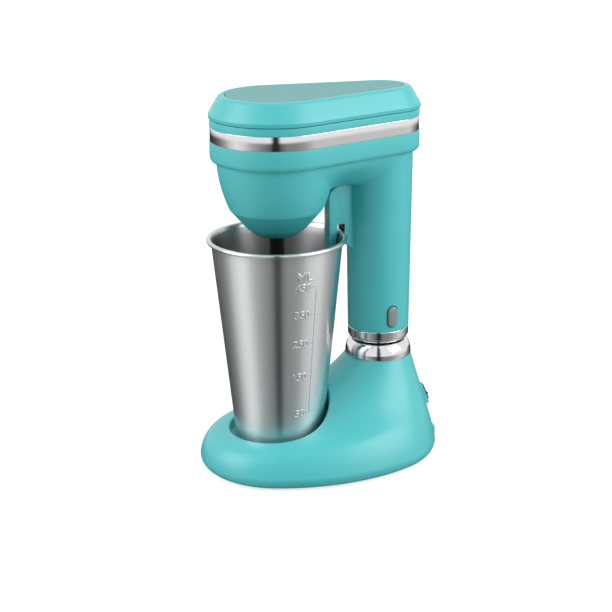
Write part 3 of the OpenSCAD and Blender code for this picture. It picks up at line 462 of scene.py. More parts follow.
front_c, rear_c = -axis_gap, stand_rear_reach - stand_rear_r
end_gap = rear_c - front_c
side_to_front, side_to_rear = stand_side_r - stand_front_r, stand_side_r - stand_rear_r
side_cy = (side_to_front ** 2 - side_to_rear ** 2 + end_gap ** 2) / (2 * end_gap)
side_cx = math.sqrt(side_to_front ** 2 - side_cy ** 2)
front_turn = math.degrees(math.atan2(side_cx, side_cy))
rear_turn = math.degrees(math.atan2(side_cx, side_cy - end_gap))

# the deck at the rear and at the front: share of the way out, height, and power of its sweep
deck_share, deck_height, sweep_power = (0.62, 0.86), (34, stand_deck_z), (1, 2.4)


def facing(a):
    """Outward direction at angle a from the front, one row per angle."""
    return np.stack([np.sin(np.radians(a)), -np.cos(np.radians(a))], -1)


def outline(a):
    """The stand's plan about the column axis, by the direction that its edge faces."""
    folded = np.where(a > 180, 360 - a, a)
    n = facing(folded)
    front = np.array([0, front_c]) + stand_front_r * n
    side = np.array([-side_cx, front_c + side_cy]) + stand_side_r * n
    rear = np.array([0, rear_c]) + stand_rear_r * n
    behind = np.where((folded < rear_turn)[..., None], side, rear)
    place = np.where((folded < front_turn)[..., None], front, behind)
    return place * np.stack([np.where(a > 180, -1, 1), np.ones_like(a)], -1)


def frontness(a):
    return np.cos(np.radians(a / 2)) ** 2


def flank(a, x, v):
    """Share of the way out from the neck, and height, on the deck (x) and over its edge (v)."""
    if v == 0:
        ends = [(deck_share[k] * x, deck_height[k] + (neck_z - deck_height[k]) * (1 - x) ** sweep_power[k])
                for k in (0, 1)]
    else:
        turn = math.radians(90 * v)
        ends = [(mix(deck_share[0], 1, 1 - (1 - v) ** 1.15), mix(deck_height[0], stand_edge_z, v)),
                (mix(deck_share[1], 1, math.sin(turn)), mix(stand_edge_z, deck_height[1], math.cos(turn)))]
    w = frontness(a)
    return mix(ends[0][0], ends[1][0], w), mix(ends[0][1], ends[1][1], w)


stand_turns = np.arange(0, 360, 1.5)


def stand_ring(place, z):
    """A ring of the stand from points in plan about the column axis."""
    return np.column_stack([place[:, 0], place[:, 1] + col_y, np.broadcast_to(z, len(stand_turns))])


def flank_ring(x, v):
    share, height = flank(stand_turns, x, v)
    return stand_ring(mix(neck_r * facing(stand_turns), outline(stand_turns), share[:, None]), height)


def eased_rings(rings, passes=14):
    """Rings with the bends between them eased, so that the deck rolls over its edge without a crease."""
    grid = np.array(rings)
    for _ in range(passes):
        grid[1:-1] = (grid[:-2] + 2 * grid[1:-1] + grid[2:]) / 4
    return list(grid)


def inset_ring(inset, z):
    return stand_ring(outline(stand_turns) - inset * facing(stand_turns), z)


def neck_circle(r, z):
    return stand_ring(r * facing(stand_turns), z)


def deck_at(place):
    """Height of the deck over points in plan about the column axis."""
    side = np.where(place[:, 0] < 0, -1, 1)
    point = place * np.stack([side, np.ones_like(side)], -1)
    low, high = np.zeros(len(point)), np.full(len(point), 180.0)
    for _ in range(40):
        a = (low + high) / 2
        start, end = neck_r * facing(a), outline(a)
        turn = (end - start)[:, 0] * (point - start)[:, 1] - (end - start)[:, 1] * (point - start)[:, 0]
        low, high = np.where(turn > 0, a, low), np.where(turn > 0, high, a)
    share = np.linalg.norm(point - start, axis=1) / np.linalg.norm(end - start, axis=1)
    heights = []
    for angle, wanted in zip(a, share):
        steps = [(x, 0) for x in np.linspace(0, 1, 60)] + [(1, v) for v in np.linspace(0.02, 1, 30)]
        line = [flank(np.array([angle]), x, v) for x, v in steps]
        heights.append(np.interp(wanted, [float(p[0][0]) for p in line], [float(p[1][0]) for p in line]))
    return np.array(heights)


def recess_cutter():
    """The beaker's recess: round floor, corner fillet, upright wall and a rounded lip along the deck."""
    lip, corner, steps = 1.3, 2.0, 180
    turn = np.radians(np.arange(steps) * 360 / steps)
    out = np.stack([np.cos(turn), np.sin(turn)], 1)
    centre = np.array([0, -axis_gap])
    height = deck_at(centre + recess_r * out)
    slope = np.arctan((deck_at(centre + (recess_r + 2) * out) - height) / 2)
    arc_z = height + np.tan(slope) * lip - lip / np.cos(slope)
    last = np.pi / 2 - slope - math.radians(12)

    def ring(r, z):
        r = np.broadcast_to(np.asarray(r, float), (steps,))
        return np.column_stack([r * out[:, 0], cup_y + r * out[:, 1], np.broadcast_to(z, (steps,))])

    rings = [ring(0.01, recess_floor_z)]
    for t in np.linspace(0, math.pi / 2, 6):
        rings.append(ring(recess_r - corner * (1 - math.sin(t)), recess_floor_z + corner * (1 - math.cos(t))))
    for t in np.linspace(0, 1, 7):
        rings.append(ring(recess_r + lip - lip * np.cos(t * last), arc_z + lip * np.sin(t * last)))
    end_r = recess_r + lip - lip * np.cos(last) + 3 * np.sin(last)
    rings.append(ring(end_r, arc_z + lip * np.sin(last) + 3 * np.cos(last)))
    rings.append(ring(end_r, neck_z + 20))
    rings.append(ring(0.01, neck_z + 20))
    return cutter(*skin(rings, (False, False)))


def rocker_face():
    """Matrix from the rocker's own axes, +Z out of the sloping face, to the object's."""
    return (Matrix.Translation((0, col_y + stand_rear_reach - rocker_set_in, rocker_z))
            @ Matrix.Rotation(math.radians(rocker_lean - 90), 4, "X") @ Matrix.Rotation(math.pi, 4, "Z"))


def rounded_box(w, h, r, steps=6):
    """Outline of a rectangle with round corners."""
    line = []
    for sx, sy, start in ((1, 1, 0), (-1, 1, 90), (-1, -1, 180), (1, -1, 270)):
        for k in range(steps + 1):
            t = math.radians(start + 90 * k / steps)
            line.append((sx * (w / 2 - r) + r * math.cos(t), sy * (h / 2 - r) + r * math.sin(t)))
    return line


inlet_r, inlet_z = 4.7, 6.6
pad_half, pad_top, pad_turn, pad_sink = 17, 12, 15.45, 4
boss_w, boss_h, boss_corner = 22, 20, 4
bezel_sink = 1.4


def rocker_hole():
    """What the rocker's bezel takes out of the stand."""
    points, faces = prism(rounded_box(rocker_w + 2.2, rocker_h + 2.2, 0.4), -8.5, 6)
    return cutter(moved(points, rocker_face()), faces)


def make_stand():
    bore_r, bore_z = 19, 40
    flank_steps = [t ** 1.3 for t in np.linspace(0, 1, 34)]
    edge_steps = np.linspace(0, 1, 19)[1:]
    rings = [neck_circle(bore_r, bore_z), neck_circle(bore_r, neck_z - 0.4),
             neck_circle(bore_r + 0.4, neck_z), neck_circle(neck_r - 0.3, neck_z)]
    rings += eased_rings([flank_ring(x, 0) for x in flank_steps] + [flank_ring(1, v) for v in edge_steps])
    for t in np.linspace(0, 90, 12)[1:]:
        turn = math.radians(t)
        inset = stand_roll * (1 - math.cos(turn))
        rings.append(inset_ring(inset, mix(stand_edge_z, shell_lift, math.sin(turn))))
    rings += [inset_ring(stand_roll + stand_wall, shell_lift), inset_ring(stand_roll + stand_wall, 4)]
    shell = piece("stand_shell", "stand", "turquoise", *skin(rings), nodes=["base_shell"])
    cut(shell, recess_cutter(), rocker_hole())


def make_rocker_boss():
    points, faces = prism(rounded_box(boss_w, boss_h, boss_corner, 8), -8, -bezel_sink)
    boss = piece("rocker_boss", "stand", "turquoise", moved(points, rocker_face()), faces)
    cut(boss, rocker_hole())
    bevel(boss, 0.6)


def make_inlet_pad():
    """The raised pad at the back of the stand, with the cord inlet's bore."""
    arc = [(stand_rear_r + pad_proud) * facing(np.array([180.0 - t]))[0] + np.array([0, rear_c])
           for t in np.linspace(-pad_turn, pad_turn, 25)]
    root_y = stand_rear_reach - pad_sink
    line = [(-pad_half, root_y)] + [tuple(p) for p in arc] + [(pad_half, root_y)]
    line = [(x, y + col_y) for x, y in line]
    pad = piece("inlet_pad", "stand", "turquoise", *prism(line, shell_lift, pad_top))
    bevel(pad, 0.7)
    bore, bore_faces = turned([(inlet_r, -12), (inlet_r, 8)], steps=64)
    lie = Matrix.Translation((0, col_y + stand_rear_reach, inlet_z)) @ Matrix.Rotation(-math.pi / 2, 4, "X")
    cut(pad, cutter(moved(bore, lie), bore_faces))


def make_rocker():
    matrix = rocker_face()
    frame_line = rounded_box(rocker_w + 4, rocker_h + 4, 1.4, 6)
    points, faces = prism(frame_line, -bezel_sink, 0)
    bezel = piece("rocker_frame", "stand", "black", moved(points, matrix), faces,
                  nodes=["rocker_bezel"])
    hole, hole_faces = prism(rounded_box(rocker_w + 0.6, rocker_h + 0.6, 0.6), -3, 3)
    cut(bezel, cutter(moved(hole, matrix), hole_faces))
    bevel(bezel, 0.35)

    depth, half = 3, rocker_h / 2
    side = [(-half + 0.6, -1.2, 0), (-half + 0.4, depth + 1.3, 0.5), (0, depth + 0.1, 9),
            (half - 0.4, depth + 1.3, 0.5), (half - 0.6, -1.2, 0), (1.5, -2.6, 0), (-1.5, -2.6, 0),
            (-half + 0.6, -1.2, 0)]
    line = rounded(side, 8)[:-1]
    w = rocker_w / 2 - 0.2
    points, faces = skin([[(x, y, z) for y, z in line] for x in (-w, w)])
    swing = Matrix.Rotation(math.radians(-rocker_throw / 2), 4, "X")
    tilt = matrix @ Matrix.Translation((0, 0, -depth)) @ swing
    key = piece("rocker_key", "rocker", "black", moved(points, tilt), faces, nodes=["rocker"])
    bevel(key, 0.3, 50)


def make_feet():
    places = [(-24, cup_y - 34), (24, cup_y - 34), (-40, col_y - 8), (40, col_y - 8)]
    profile = rounded([(0, 0), (2.5, 0), (2.5, 0.5, 0.2), (4, 0.5, 0.2), (4, 0), (7, 0, 0.8), (7, 1.6)], 4)
    points, faces = join_all(*(turned(profile, place, 64) for place in places))
    piece("feet", "stand", "rubber", points, faces, nodes=["rubber_feet"])


def make_neck_ring():
    ring_bore, ring_h = 18.9, 11
    profile = rounded([(ring_bore, 0), (neck_r - 0.15, 0, 0.3), (neck_r + 0.1, 1.2, 1.2),
                       (neck_r - 0.1, 4, 6), (neck_r - 0.8, 7, 6), (neck_r - 2, 9.2, 4),
                       (neck_r - 3.4, ring_h - 0.3, 1), (neck_r - 4.1, ring_h, 0.3),
                       (ring_bore, ring_h, 0.3), (ring_bore, 0)], 5)
    ring = turned([(r, z + neck_z) for r, z in profile], column_axis, 256, (False, False))
    piece("neck_ring_chrome", "stand", "chrome", *ring, nodes=["neck_ring"])


# ================= head =================

straight_fillet = 4000


def fillet_centre(front_r, rear_r, fillet):
    a, b = front_r + fillet, rear_r + fillet
    y = (a * a - b * b + axis_gap * axis_gap) / (2 * axis_gap)
    return math.sqrt(a * a - y * y), y


def head_ring(front_r, rear_r, z, fillet=straight_fillet, counts=(96, 40, 56)):
    """Bowl arc and column arc joined by a hollow arc, as a ring at height z."""
    cx, cy = fillet_centre(front_r, rear_r, fillet)
    at_bowl, at_column = math.atan2(cy, cx), math.atan2(cy - axis_gap, cx)
    half = []
    for centre, r, start, end, count in (
            ((0, 0), front_r, -math.pi / 2, at_bowl, counts[0]),
            ((cx, cy), fillet, math.pi + at_bowl, math.pi + at_column, counts[1]),
            ((0, axis_gap), rear_r, at_column, math.pi / 2, counts[2])):
        for i in range(0 if not half else 1, count + 1):
            t = mix(start, end, i / count)
            half.append((centre[0] + r * math.cos(t), centre[1] + r * math.sin(t)))
    full = half + [(-x, y) for x, y in half[-2:0:-1]]
    return [(x, y + cup_y, z) for x, y in full]


def head_rings(profile, front_r=waist_front_r, rear_r=waist_rear_r):
    """Rings of the head's teardrop from (inset, height) pairs."""
    return [head_ring(front_r - inset, rear_r - inset, z) for inset, z in profile]


def bowl_at(z):
    t = (waist_z - z) / (waist_z - crease_z)
    return bowl_r - (bowl_r - crease_r) * mix(t, t * t, 0.8)


def column_at(z):
    return mix(column_low_r, column_top_r, (z - column_z) / (waist_z - column_z))


def web_fillet(z, share, least_half=3.0):
    """Radius of the hollow arcs that leave a web between bowl and column, wider as share goes to 1."""
    b, c = bowl_at(z), column_at(z)
    q, p = (b - c) / axis_gap, (b * b - c * c + axis_gap ** 2) / (2 * axis_gap)
    k = b - p * q - least_half
    least = (k - math.sqrt(k * k - q * q * (p * p + least_half ** 2 - b * b))) / (q * q)
    return 1 / mix(1 / least, 1 / straight_fillet, share)


def make_housing():
    waist_edge = 4
    profile = [(3, rim_z + 1), (2.6, housing_top_z)]
    profile += rounded([(2.5, housing_top_z), (0.1, housing_top_z, 0.5), (0.1, rim_z + 0.3, 0),
                        (0.1, rim_z, 0.3), (1.5, rim_z), (1.5, band_z), (0, band_z, 0.3),
                        (0, waist_z, waist_edge), (waist_edge + 2, waist_z), (waist_edge + 8, waist_z)], 8)
    piece("waist_moulding", "head", "turquoise", *skin(head_rings(profile)), nodes=["motor_housing"])

    nose_r, above_crease = 6.3, crease_z + 3
    bowl = [(0, nose_z), (nose_r, nose_z)]
    bowl += rounded([(nose_r, nose_z), (13.5, nose_z, 9), (20.5, nose_z + 5.4, 14), (crease_r, crease_z, 3),
                     (bowl_at(above_crease), above_crease)], 7)
    bowl += [(bowl_at(z), z) for z in np.linspace(above_crease + 1, waist_z + 0.5, 20)]
    piece("bowl_moulding", "head", "turquoise", *turned(bowl, cup_axis, 256))

    column = rounded([(18, column_z), (column_low_r, column_z, 0.5),
                      (column_at(column_z + 4), column_z + 4)], 5)
    column += [(column_at(z), z) for z in np.linspace(column_z + 6, waist_z + 0.5, 12)]
    shaft = piece("column_moulding", "head", "turquoise", *turned(column, column_axis, 256))
    hole, hole_faces = stadium_x(button_w + 0.9, button_h + 0.9, 17.5, 30)
    cut(shaft, cutter(hole, hole_faces))

    rings = []
    for t in np.linspace(0.004, 1, 26):
        z = mix(hook_top_z, waist_z, t)
        share = math.sqrt(1 - (1 - t) ** 2)
        rings.append(head_ring(bowl_at(z) - 0.05, column_at(z) - 0.05, z, web_fillet(z, share)))
    piece("bridge_moulding", "head", "turquoise", *skin(rings))


def stadium_x(w, h, start, end, steps=16, dome=0.0, edge=0.0):
    """An upright slot shape, w wide and h high, that runs along X from start to end beside the button."""
    line = []
    for centre, first in ((h / 2 - w / 2, 0), (-(h / 2 - w / 2), 180)):
        for k in range(steps + 1):
            t = math.radians(first + 180 * k / steps)
            line.append((w / 2 * math.cos(t), centre + w / 2 * math.sin(t)))

    def ring(scale, x):
        return [(x, col_y + y * scale, button_z + z * scale) for y, z in line]

    if not edge:
        return skin([ring(1, start), ring(1, end)])
    rings = [ring(1, start)]
    for t in np.linspace(0, math.pi / 2, 6):
        rings.append(ring(1 - 2 * edge / w * (1 - math.cos(t)), end - dome - edge + edge * math.sin(t)))
    for s in (0.75, 0.5, 0.25, 0.02):
        rings.append(ring((1 - 2 * edge / w) * s, end - dome * s * s))
    return skin(rings)


def make_button():
    face = column_at(button_z) + button_proud
    points, faces = stadium_x(button_w - 0.5, button_h - 0.5, column_low_r - 6, face, dome=0.25, edge=0.9)
    piece("button_key", "button", "button", points, faces, nodes=["release_button"])


def make_band():
    profile = rounded([(1.4, band_z + 0.05), (0.4, band_z + 0.05, 0.35), (0.4, rim_z - 0.05, 0.35),
                       (1.4, rim_z - 0.05)], 5)
    piece("waist_band", "head", "chrome", *skin(head_rings(profile), (False, False)), nodes=["trim_band"],
          material=band_metal)


def make_cover():
    front, rear = waist_front_r + 0.5, waist_rear_r + 0.7
    inlay_front = waist_front_r - cover_slope_in + 0.6 - cover_margin
    inlay_rear = waist_rear_r - cover_slope_in - 0.2 - cover_margin
    profile = rounded([(5, cover_z), (0.2, cover_z, 0.5), (0, cover_z + 2.6, 0.5),
                       (0.55, cover_z + 3.7, 0.8), (cover_slope_in, cover_top_z - 1.1, 1.5),
                       (cover_slope_in + 1.9, cover_top_z + 0.05, 2.5),
                       (cover_slope_in + 4, cover_top_z)], 6)
    groove_w, groove_h = 0.3, 1.5
    groove = [(-groove_w - 0.25, cover_top_z), (-groove_w - 0.05, cover_top_z - 0.15),
              (-groove_w, cover_top_z - groove_h), (-0.02, cover_top_z - groove_h)]
    rings = head_rings(profile, front, rear) + head_rings(groove, inlay_front, inlay_rear)
    piece("cover_moulding", "head", "turquoise", *skin(rings, (True, False)), nodes=["top_cover"])

    plate = [(inset, cover_top_z - drop)
             for inset, drop in ((0, 1.9), (0, 0.4), (0.05, 0.25), (0.2, 0.1), (0.5, 0.05), (3, 0.05))]
    piece("inlay_plate", "head", "inlay", *skin(head_rings(plate, inlay_front, inlay_rear)),
          nodes=["top_plate"])


def make_hook():
    arm_back = axis_gap - 21
    corners = [(hook_front, hook_low_z - 1, 0.6), (hook_front + 1.5, hook_low_z - 2, 0.8),
               (cup_mouth_r - 3.1, hook_low_z - 1, 0.6), (cup_mouth_r - 1.3, notch_top - 6, 0.6),
               (cup_mouth_r - 0.7, notch_top, 0.3), (notch_back, notch_top, 0.3),
               (notch_back, hook_low_z + 4, 0.8), (arm_back, hook_low_z - 2.5), (arm_back, hook_top_z),
               (hook_front, hook_top_z, 9)]
    start = (hook_front, (hook_low_z + hook_top_z) / 2)
    line = rounded([start, *corners, start], 8)[:-1]
    points, faces = skin([[(x, y + cup_y, z) for y, z in line] for x in (-hook_w / 2, hook_w / 2)])
    hook = piece("rim_hook", "head", "turquoise", points, faces, nodes=["cup_hook"])
    bevel(hook, 0.9, 35, 4)


def make_notch_shade_sheet():
    """Painted shade: black sheets on the back and under the roof of the hook's notch, standing in for the
    shade in the notch and closing the view through it.
    """
    side, sunk = hook_w / 2 - 0.15, 0.1
    roof_front, roof_h = cup_mouth_r - 0.4, 0.25
    back = [(-side, notch_back - 1.0), (side, notch_back - 0.3), (side, notch_back + sunk),
            (-side, notch_back + sunk)]
    roof = [(-side, roof_front), (side, roof_front), (side, notch_back), (-side, notch_back)]
    shade_sheets = [prism([(x, y + cup_y) for x, y in line], low, notch_top + sunk)
              for line, low in ((back, hook_low_z + 5), (roof, notch_top - roof_h))]
    piece("notch_shade_sheet", "head", "black_plastic", *join_all(*shade_sheets))


def make_collar():
    low = column_z - collar_h
    profile = rounded([(15.9, low + 2), (15.9, low, 0.2), (17, low, 0.6), (18.2, low + 2.2, 4),
                       (20.4, low + 4.2, 4), (column_low_r - 0.1, low + 6.2, 0.8),
                       (column_low_r, column_z, 0.4), (19.4, column_z)], 6)
    piece("column_collar_chrome", "head", "chrome", *turned(profile, column_axis, 256, (False, False)),
          nodes=["column_collar"])


def make_sleeve():
    low = nose_z - sleeve_len
    profile = rounded([(spindle_r, low), (sleeve_r - 0.7, low, 0.4), (sleeve_r, low + 1.6, 0.8),
                       (sleeve_r, nose_z + 1.2)], 5)
    piece("spindle_sleeve", "spindle", "black", *turned(profile, cup_axis, 96), nodes=["spindle_collar"])


def make_agitator():
    """A waved disc on a small hub."""
    hub_r, steps, waves, wave_h, disc_lift = 3.6, 144, 6, 1.6, 2
    turn = np.arange(steps) * 2 * math.pi / steps
    flat = [hub_r, 6, 9, 12, agitator_r - 0.3]
    edge = [(agitator_r, 0.7), (agitator_r, 0.3)]
    rings = []
    for r, height in [(r, 1) for r in flat] + edge + [(r, 0) for r in flat[::-1]]:
        wave = wave_h * np.sin(waves * turn) * (r - hub_r) / (agitator_r - hub_r)
        rings.append(np.column_stack([r * np.cos(turn), cup_y + r * np.sin(turn),
                                      agitator_z + disc_lift + height + wave]))
    hub = rounded([(0, agitator_z), (5, agitator_z, 0.6), (5, agitator_z + 6, 1.2), (3, agitator_z + 6)], 5)
    piece("agitator_wheel", "spindle", "steel", *join_all(skin(rings), turned(hub, cup_axis, 96)),
          nodes=["agitator_disc"])


# ================= beaker =================

def cup_wall_r(z):
    """Outer radius of the beaker at height z above its foot."""
    return mix(cup_foot_r, cup_mouth_r, (z - 1) / (cup_h - 1 - 2 * rim_wire_r))


def make_beaker():
    foot, neck = 3.0, cup_h - 2 * rim_wire_r
    foot_r, inner_foot = cup_wall_r(foot) - foot, foot - cup_wall
    bead_r, bead_z = cup_mouth_r + rim_wire_r, cup_h - rim_wire_r
    outer = [(0, 0.5), (cup_foot_r - 7, 0.5), (cup_foot_r - 6, 0)]
    outer += [(foot_r + foot * math.cos(t), foot + foot * math.sin(t))
              for t in np.linspace(-math.pi / 2, 0, 9)]
    outer += [(cup_wall_r(z), z) for z in np.linspace(6, neck - 0.4, 24)]
    bead = [(bead_r + rim_wire_r * math.cos(t), bead_z + rim_wire_r * math.sin(t))
            for t in np.radians(np.linspace(-150, 165, 22))]
    inner = [(cup_wall_r(z) - cup_wall, z) for z in np.linspace(neck, 6, 24)]
    inner += [(foot_r + inner_foot * math.cos(t), foot + inner_foot * math.sin(t))
              for t in np.linspace(0, -math.pi / 2, 9)]
    inner += [(cup_foot_r - 6, cup_wall), (cup_foot_r - 7, cup_wall + 0.5), (0, cup_wall + 0.5)]
    points, faces = turned([(r, z + cup_z) for r, z in outer + bead + inner], cup_axis, 320, (False, False))
    beaker = piece("beaker", "cup", "beaker", points, faces, nodes=["cup"])
    # The inner wall's faces take the darker steel: painted shade inside the beaker.
    beaker.data.materials.append(shaded_inner_steel)
    for face in beaker.data.polygons:
        away = face.center.x * face.normal.x + (face.center.y - cup_y * mm) * face.normal.y
        above_foot = 1 < face.center.z / mm - cup_z < cup_h - 2.2 * rim_wire_r
        if above_foot and away < 0:
            face.material_index = 1


def on_beaker(azimuth, z, proud):
    """A point on the beaker's wall, by degrees from the front towards +X and height above the table."""
    r = cup_wall_r(z - cup_z) + proud
    a = math.radians(azimuth)
    return r * math.sin(a), cup_y - r * math.cos(a), z


mark_azimuth = 104.0
mark_line_top, mark_line_low = 141.5, 47.5
mark_heights = {"450": 141.3, "350": 121.7, "250": 100.4, "150": 75.8, "50": 48.0}
mark_proud, mark_sunk = 0.42, -0.05
line_half, dash_half, dash_from, dash_to = 0.35, 0.3, 4.2, 0.5
figure_size, figure_gap, unit_size, unit_gap = 7.6, 6.2, 9.0, 5.0


def wall_bar(z0, z1, a0, a1, n=24):
    """A raised bar on the wall between two heights and two azimuths, with sloping edges."""
    edge_a, edge_z = 0.35, 0.25
    across = [(a0 - edge_a, mark_sunk), (a0, mark_proud), (a1, mark_proud), (a1 + edge_a, mark_sunk)]
    rows = [[(a, z0 - edge_z, mark_sunk) for a, _ in across]]
    rows += [[(a, z, proud) for a, proud in across] for z in np.linspace(z0, z1, n)]
    rows.append([(a, z1 + edge_z, mark_sunk) for a, _ in across])
    points = [on_beaker(*p) for row in rows for p in row]
    faces = [(j * 4 + i, j * 4 + i + 1, (j + 1) * 4 + i + 1, (j + 1) * 4 + i)
             for j in range(len(rows) - 1) for i in range(3)]
    return points, faces


def wall_text(text, size, end_azimuth, base_z):
    """Raised figures on the wall: they read from outside and end at an azimuth."""
    curve = bpy.data.curves.new("figures", "FONT")
    curve.body = text
    curve.size = size * mm
    curve.align_x = "RIGHT"
    curve.offset = 0.02 * mm
    curve.extrude = 0.5 * mark_proud * mm
    curve.bevel_depth = 0.14 * mm
    curve.bevel_resolution = 1
    curve.resolution_u = 4
    flat = linked("figures", curve)
    mesh = evaluated_mesh(flat)
    points = []
    for vertex in mesh.vertices:
        x, y, depth = (c / mm for c in vertex.co)
        z = base_z + y
        r = cup_wall_r(z - cup_z)
        points.append(on_beaker(end_azimuth + math.degrees(x / r), z, depth + 0.02))
    faces = [tuple(face.vertices) for face in mesh.polygons]
    bpy.data.objects.remove(flat)
    return points, faces


def make_marks():
    """The pressed measure on the beaker: an upright line, a dash and a figure for each 100 ml."""
    marks = [wall_bar(mark_line_low, mark_line_top, mark_azimuth - line_half, mark_azimuth + line_half)]
    dash_start, dash_end = mark_azimuth - dash_from, mark_azimuth - dash_to
    for text, z in mark_heights.items():
        marks.append(wall_bar(z - dash_half, z + dash_half, dash_start, dash_end, 2))
        marks.append(wall_text(text, figure_size, mark_azimuth - figure_gap, z - 2.9))
    marks.append(wall_text("ML", unit_size, mark_azimuth - unit_gap, mark_line_top + 4.2))
    # the marks take the lightened steel: a painted highlight on the figures
    piece("measure_marks", "cup", "beaker", *join_all(*marks), sharp=60, material=lit_mark_steel)


# ================= camera, floor and light =================

camera_azimuth, camera_elevation, camera_roll = 65.454, 17.852, -0.489
camera_distance, camera_pan, camera_lens = 1071.48, -16.117, 89.17
camera_aim = (0, cup_y + axis_gap / 2, 110.7)


def towards(azimuth, elevation):
    """Unit vector by degrees from the front towards +X and degrees above the table."""
    a, e = math.radians(azimuth), math.radians(elevation)
    return Vector((math.sin(a) * math.cos(e), -math.cos(a) * math.cos(e), math.sin(e)))


def set_camera():
    back = towards(camera_azimuth, camera_elevation)
    right = towards(camera_azimuth + 90, 0)
    up = back.cross(right)
    r = math.radians(camera_roll)
    right, up = right * math.cos(r) + up * math.sin(r), up * math.cos(r) - right * math.sin(r)
    place = (Vector(camera_aim) + back * camera_distance + right * camera_pan) * mm
    data = bpy.data.cameras.new("camera")
    data.sensor_width = 36
    data.lens = camera_lens
    made = linked("camera", data)
    made.matrix_world = Matrix.Translation(place) @ Matrix((right, up, back)).transposed().to_4x4()
    bpy.context.scene.camera = made


def seen_or_mirrored(tree):
    """1 for rays that show the background: from the camera, off metal and through clear pieces."""
    rays = node(tree, "ShaderNodeLightPath")
    shown = math_node(tree, "MAXIMUM", rays.outputs["Is Camera Ray"], rays.outputs["Is Glossy Ray"])
    return math_node(tree, "MAXIMUM", shown, rays.outputs["Is Transmission Ray"])


def set_world(ambient):
    world = bpy.data.worlds.new("studio")
    world.use_nodes = True
    bpy.context.scene.world = world
    tree = world.node_tree
    background = tree.nodes["Background"]
    background.inputs["Color"].default_value = (1, 1, 1, 1)
    strength = node(tree, "ShaderNodeMapRange", {"To Min": ambient, "To Max": 1.0})
    wire(tree, (seen_or_mirrored(tree), strength.inputs["Value"]),
         (strength.outputs["Result"], background.inputs["Strength"]))


def stage_piece(name, points, faces):
    """A piece of the studio, with an empty node material."""
    mesh = bpy.data.meshes.new(name)
    mesh.from_pydata(points, [], faces)
    made = linked(name, mesh)
    material = bpy.data.materials.new(name)
    material.use_nodes = True
    mesh.materials.append(material)
    return made, material.node_tree


floor_white, floor_glow, glow_from, glow_to = 0.5, 0.72, 0.3, 1.6


def make_floor():
    """A white sweep: it goes white away from the object and keeps the shadow near it."""
    half = 6.0
    corners = [(-half, -half, 0), (half, -half, 0), (half, half, 0), (-half, half, 0)]
    floor, tree = stage_piece("floor", corners, [(0, 1, 2, 3)])
    shader = tree.nodes["Principled BSDF"]
    shader.inputs["Base Color"].default_value = grey(floor_white)
    shader.inputs["Roughness"].default_value = 1.0
    shader.inputs["Specular IOR Level"].default_value = 0.0
    shader.inputs["Emission Color"].default_value = (1, 1, 1, 1)
    length = node(tree, "ShaderNodeVectorMath", operation="LENGTH")
    wire(tree, (node(tree, "ShaderNodeTexCoord").outputs["Object"], length.inputs[0]))
    reach = {"From Min": glow_from, "From Max": glow_to, "To Min": floor_glow, "To Max": 1.0}
    lift = node(tree, "ShaderNodeMapRange", reach, interpolation_type="SMOOTHSTEP")
    wire(tree, (length.outputs["Value"], lift.inputs["Value"]))
    glow = math_node(tree, "MULTIPLY", seen_or_mirrored(tree), lift.outputs["Result"])
    wire(tree, (glow, shader.inputs["Emission Strength"]))
    floor.visible_glossy = False


lamp_aim_z, ambient = 0.12, 0.36


def lamp(name, azimuth, elevation, distance, size, power):
    """A soft square lamp that faces the middle of the object."""
    data = bpy.data.lights.new(name, "AREA")
    data.shape = "RECTANGLE"
    data.size, data.size_y = size
    data.energy = power
    made = linked(name, data)
    away = towards(azimuth, elevation)
    made.location = Vector((0, 0, lamp_aim_z)) + away * distance
    made.rotation_mode = "QUATERNION"
    made.rotation_quaternion = away.to_track_quat("Z", "Y")
    return made


# what metal mirrors, by azimuth from the front towards +X
studio_fill, studio_wall, studio_top = 0.25, 0.93, 0.45
# screens: middle, half width and tone; gaps: middle, half width, steepness of the edge and depth
bright_screens = [(-6, 34, 0.80), (158, 40, 0.66)]
dark_gaps = [(66.5, 11, 3.0, 0.90), (249, 78, 1.5, 0.93)]
# azimuths of the round's tones, closer by the dark gap, and (azimuth, tone) of the wall over it
round_azimuths = [58, 61, 64, 69, 72, 75] + [a for a in range(-80, 271, 15) if not 50 < a < 80]
wall_tones = [(57, studio_wall), (60.5, 0.5), (63, 0.03), (70, 0.03), (72.5, 0.5), (76, studio_wall)]
# the surround's radius, and heights in metres between which the round gives way to wall and top
surround_r, wall_span, top_span = 3.0, (-0.36, -0.2), (2.8, 2.95)


def studio_tone(azimuth):
    """Brightness of the studio at an azimuth: grey fill, two bright screens and two dark gaps."""
    def away(middle):
        return abs((azimuth - middle + 180) % 360 - 180)
    tone = studio_fill
    for middle, half, strength in bright_screens:
        tone += strength * math.exp(-(away(middle) / half) ** 2 * 1.6)
    for middle, half, edge, depth in dark_gaps:
        tone *= 1 - depth / (1 + (away(middle) / half * 1.25) ** (2 * edge))
    return max(tone, 0.01)


def blended(tree, value, span, low, high):
    """Goes from one colour to another while a value crosses a span."""
    up = node(tree, "ShaderNodeMapRange", {"From Min": span[0], "From Max": span[1]})
    made = node(tree, "ShaderNodeMix", data_type="RGBA")
    colours = [socket for socket in made.inputs if socket.type == "RGBA"]
    wire(tree, (value, up.inputs["Value"]), (up.outputs["Result"], made.inputs["Factor"]), (low, colours[0]))
    if isinstance(high, tuple):
        colours[1].default_value = high
    else:
        wire(tree, (high, colours[1]))
    return [socket for socket in made.outputs if socket.type == "RGBA"][0]


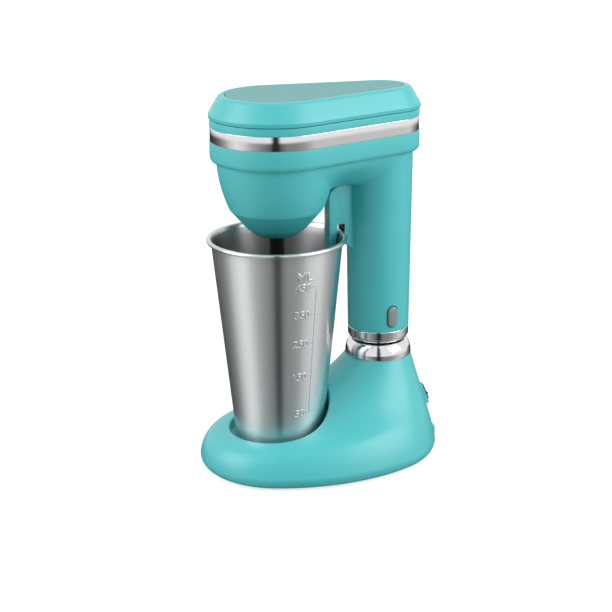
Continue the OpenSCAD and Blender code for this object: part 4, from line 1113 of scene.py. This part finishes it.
def studio_ramp(tree, turn, tones, seam):
    """A ramp round the studio from (azimuth, tone) pairs, with one tone at its seam."""
    ramp = node(tree, "ShaderNodeValToRGB")
    wire(tree, (turn, ramp.inputs["Fac"]))
    stops = ramp.color_ramp.elements
    for azimuth, tone in tones:
        stops.new(((azimuth + 90) / 360) % 1).color = grey(tone)
    for stop in (stops[0], stops[len(stops) - 1]):
        stop.color = grey(seam)
    return ramp.outputs["Color"]


def make_surround():
    """The rest of the studio, far round the object. Only mirror-like rays see it."""
    turns, levels = 48, 24
    rings = []
    for e in np.radians(np.linspace(-90, 90, levels + 1)):
        rings.append(circle(surround_r * math.cos(e), surround_r * math.sin(e), steps=turns))
    made, tree = stage_piece("studio_surround", *skin(rings, (False, False)))
    tree.nodes.remove(tree.nodes["Principled BSDF"])
    place = node(tree, "ShaderNodeTexCoord").outputs["Object"]
    turn = node(tree, "ShaderNodeTexGradient", gradient_type="RADIAL")
    height = node(tree, "ShaderNodeSeparateXYZ")
    wire(tree, (place, turn.inputs["Vector"]), (place, height.inputs["Vector"]))
    tones = [(azimuth, studio_tone(azimuth)) for azimuth in round_azimuths]
    round_colour = studio_ramp(tree, turn.outputs["Fac"], tones, studio_tone(-90))
    wall_colour = studio_ramp(tree, turn.outputs["Fac"], wall_tones, studio_wall)
    rise = blended(tree, height.outputs["Z"], wall_span, round_colour, wall_colour)
    result = blended(tree, height.outputs["Z"], top_span, rise, grey(studio_top))
    shine = node(tree, "ShaderNodeEmission")
    wire(tree, (result, shine.inputs["Color"]),
         (shine.outputs["Emission"], tree.nodes["Material Output"].inputs["Surface"]))
    made.visible_camera = made.visible_diffuse = made.visible_shadow = made.visible_transmission = False


def set_light():
    set_world(ambient)
    lamp("right_softbox", 134, 26, 1.5, (1.1, 1.2), 15)
    lamp("left_softbox", -6, 26, 1.5, (1.1, 1.2), 13)
    lamp("top_softbox", 60, 78, 1.4, (1.2, 1.2), 4).visible_glossy = False


# ================= making it =================

scene = bpy.context.scene
scene.view_settings.view_transform = "Standard"
set_camera()
make_floor()
make_surround()
set_light()
dress_cad_nodes()
make_stand()
make_rocker_boss()
make_inlet_pad()
make_rocker()
make_feet()
make_neck_ring()
make_housing()
make_button()
make_band()
make_cover()
make_hook()
# the black sheets in the hook's notch are painted shade
make_notch_shade_sheet()
make_collar()
make_sleeve()
make_agitator()
make_beaker()
make_marks()
